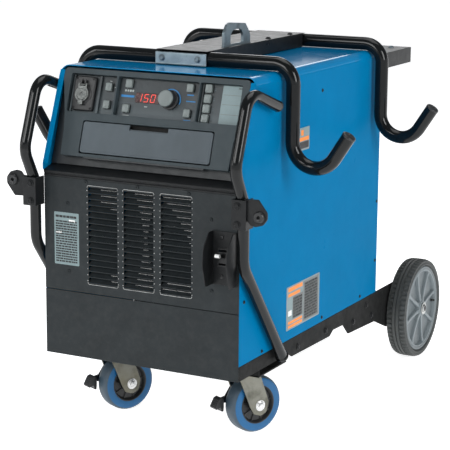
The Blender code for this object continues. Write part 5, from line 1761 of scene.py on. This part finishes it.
def make_gland():
    bm = bmesh.new()
    matrix = facing(at(GLAND_X, BACK_Y, TERMINAL_Z), (0, 1, 0))
    nut = [(0.0111, 0.0004), (0.021, 0.0004), (0.021, 0.0095), (0.02, 0.0107), (0.0111, 0.0107)]
    lathe(bm, nut, matrix, 6, closed=True)
    dome = [(0.0111, 0.0105, 0), (0.0166, 0.0105, 0.0006), (0.0172, 0.0125, 0.0008), (0.0172, 0.026, 0.0008),
            (0.016, 0.03, 0.0004), (0.0146, 0.0336, 0), (0.0128, 0.0338, 0), (0.0111, 0.0325, 0)]
    toothed(bm, dome, matrix, 18)
    piece("mains_gland", bm, "dark_plastic", replaces=["cable_gland"], bevel=0.0004)


def make_fan():
    bm = bmesh.new()
    matrix = facing(at(0, 0.72, FAN_Z), (0, 1, 0))
    lathe(bm, [(0, 0.018), (0.026, 0.0178), (0.0325, 0.015), (0.034, 0.011), (0.034, -0.017), (0.032, -0.018),
               (0, -0.018)], matrix, 40)
    for blade in range(5):
        spin = matrix @ Matrix.Rotation(blade / 5 * math.tau, 4, "Z")
        rings = []
        for i in range(9):
            t = i / 8
            reach = 0.032 + t * 0.074
            chord = 0.046 + 0.012 * math.sin(t * math.pi * 0.8)
            pitch = math.radians(38 - 14 * t)
            sections = []
            for u, thick in ((-1.0, 0.4), (-0.4, 1.2), (0.3, 1.2), (1.0, 0.4), (1.0, -0.4), (0.3, -1.0),
                             (-0.4, -1.0), (-1.0, -0.4)):
                along, up = u * chord / 2, thick * 0.001 + 0.002 * (1 - u * u)
                sections.append(spin @ Vector((reach, along * math.cos(pitch) - up * math.sin(pitch),
                                               along * math.sin(pitch) + up * math.cos(pitch))))
            rings.append(sections)
        loft(bm, rings)
    piece("fan_blades", bm, "dark_plastic", "fan", ["fan_rotor"], angle=40)


INSIDE_LOOKS = {
    "base_pan": "zinc", "centre_shelf": "zinc", "fan_motor": "zinc",
    "heatsink": "bright_aluminium", "control_board": "board", "main_transformer": "laminated",
}


def dress_inside():
    for node, look in INSIDE_LOOKS.items():
        dress_node(node, look)
    bm = bmesh.new()
    for x in (-0.15, 0.042):
        for z in (0.02, 0.19):
            hex_bolt(bm, at(x, 0.33, z), (0, -1, 0), 0.006, 0.005)
    piece("transformer_bolts", bm, "zinc")


# --- camera, light and floor --------------------------------------------------------------------


def add_light(name, place, target, size, power, colour=(1, 1, 1)):
    data = bpy.data.lights.new(name, "AREA")
    data.shape = "RECTANGLE"
    data.size, data.size_y = size
    data.energy = power
    data.color = colour
    obj = bpy.data.objects.new(name, data)
    obj.location = place
    obj.rotation_euler = (Vector(target) - Vector(place)).to_track_quat("-Z", "Y").to_euler()
    bpy.context.scene.collection.objects.link(obj)


def make_stage():
    """A wide pale floor that glows a little, so that its far parts stay as white as its near ones."""
    bm = bmesh.new()
    reach = 26.0
    bm.faces.new([bm.verts.new(corner.to_3d()) for corner in rectangle((-reach, -reach), (reach, reach))])
    mesh = bpy.data.meshes.new("studio_floor")
    bm.to_mesh(mesh)
    bm.free()
    s = Surface("floor_paper")
    paper = s.noise(3, 4, 0.6)
    base = s.ramp(paper, (0.3, grey(0.86)), (0.7, grey(0.9)))
    glow = s.ramp(paper, (0.3, grey(0.97)), (0.7, grey(1.0)))
    s.coat(base, s.spread(paper, 0.75, 0.9), s.bump(s.noise(160, 3), 0.0002, 0.3),
           Emission_Color=glow, Emission_Strength=0.86)
    mesh.materials.append(s.material)
    floor = bpy.data.objects.new("studio_floor", mesh)
    bpy.context.scene.collection.objects.link(floor)


def make_world():
    """White near the horizon and dark overhead, like a studio with a black ceiling."""
    world = bpy.data.worlds.new("studio")
    world.use_nodes = True
    tree = world.node_tree
    background = tree.nodes["Background"]
    direction = tree.nodes.new("ShaderNodeTexCoord")
    height = tree.nodes.new("ShaderNodeSeparateXYZ")
    fade = tree.nodes.new("ShaderNodeValToRGB")
    tree.links.new(direction.outputs["Generated"], height.inputs[0])
    tree.links.new(height.outputs["Z"], fade.inputs["Fac"])
    tree.links.new(fade.outputs["Color"], background.inputs["Color"])
    fade.color_ramp.elements[0].position = 0.085
    fade.color_ramp.elements[0].color = (0.96, 0.98, 1.0, 1)
    fade.color_ramp.elements[1].position = 0.19
    fade.color_ramp.elements[1].color = (0.16, 0.17, 0.18, 1)
    background.inputs["Strength"].default_value = 1.0
    bpy.context.scene.world = world
    bpy.context.scene.view_settings.view_transform = "Standard"


def make_camera():
    data = bpy.data.cameras.new("camera")
    data.lens = CAMERA_LENS
    data.sensor_width = 36
    data.clip_end = 60
    camera = bpy.data.objects.new("camera", data)
    bpy.context.scene.collection.objects.link(camera)
    level = math.cos(CAMERA_ELEVATION)
    forward = Vector((-math.sin(CAMERA_AZIMUTH) * level, math.cos(CAMERA_AZIMUTH) * level,
                      -math.sin(CAMERA_ELEVATION)))
    right = Vector((math.cos(CAMERA_AZIMUTH), math.sin(CAMERA_AZIMUTH), 0))
    up = right.cross(forward)
    tilted = right * math.cos(CAMERA_ROLL) + up * math.sin(CAMERA_ROLL)
    upright = up * math.cos(CAMERA_ROLL) - right * math.sin(CAMERA_ROLL)
    matrix = Matrix((tilted, upright, -forward)).transposed().to_4x4()
    matrix.translation = at(*CAMERA_PLACE)
    camera.matrix_world = matrix
    bpy.context.scene.camera = camera


def make_studio():
    make_stage()
    make_world()
    make_camera()
    add_light("overhead_softbox", (0.2, 0.3, 3.2), (0, 0, 0.5), (2.0, 2.0), 30)
    add_light("right_key", (3.2, -1.0, 2.0), (0, 0, 0.4), (1.2, 1.8), 62)
    add_light("front_softbox", (-0.8, -4.4, 2.6), (0, 0, 0.5), (2.4, 1.6), 80)
    add_light("left_strip", (-2.6, -3.0, 2.0), (0, 0, 0.6), (0.5, 2.2), 26)
    add_light("rear_softbox", (-1.5, 3.2, 2.4), (0, 0, 0.5), (1.6, 1.6), 20)


def main():
    make_studio()
    make_wrapper()
    make_side_screws()
    make_labels()
    make_louvre_panel()
    make_lower_plate()
    make_controls()
    make_switch()
    make_hangers()
    make_handles()
    make_hanger_clamp()
    make_top_channel()
    make_lifting_eye()
    make_bottle_bracket()
    make_base_frame()
    make_bottle_tray()
    make_axle()
    for side, name in ((1, "right"), (-1, "left")):
        make_rear_wheel(side, name)
        make_caster(side, name)
    make_rear()
    make_fan()
    dress_inside()


main()
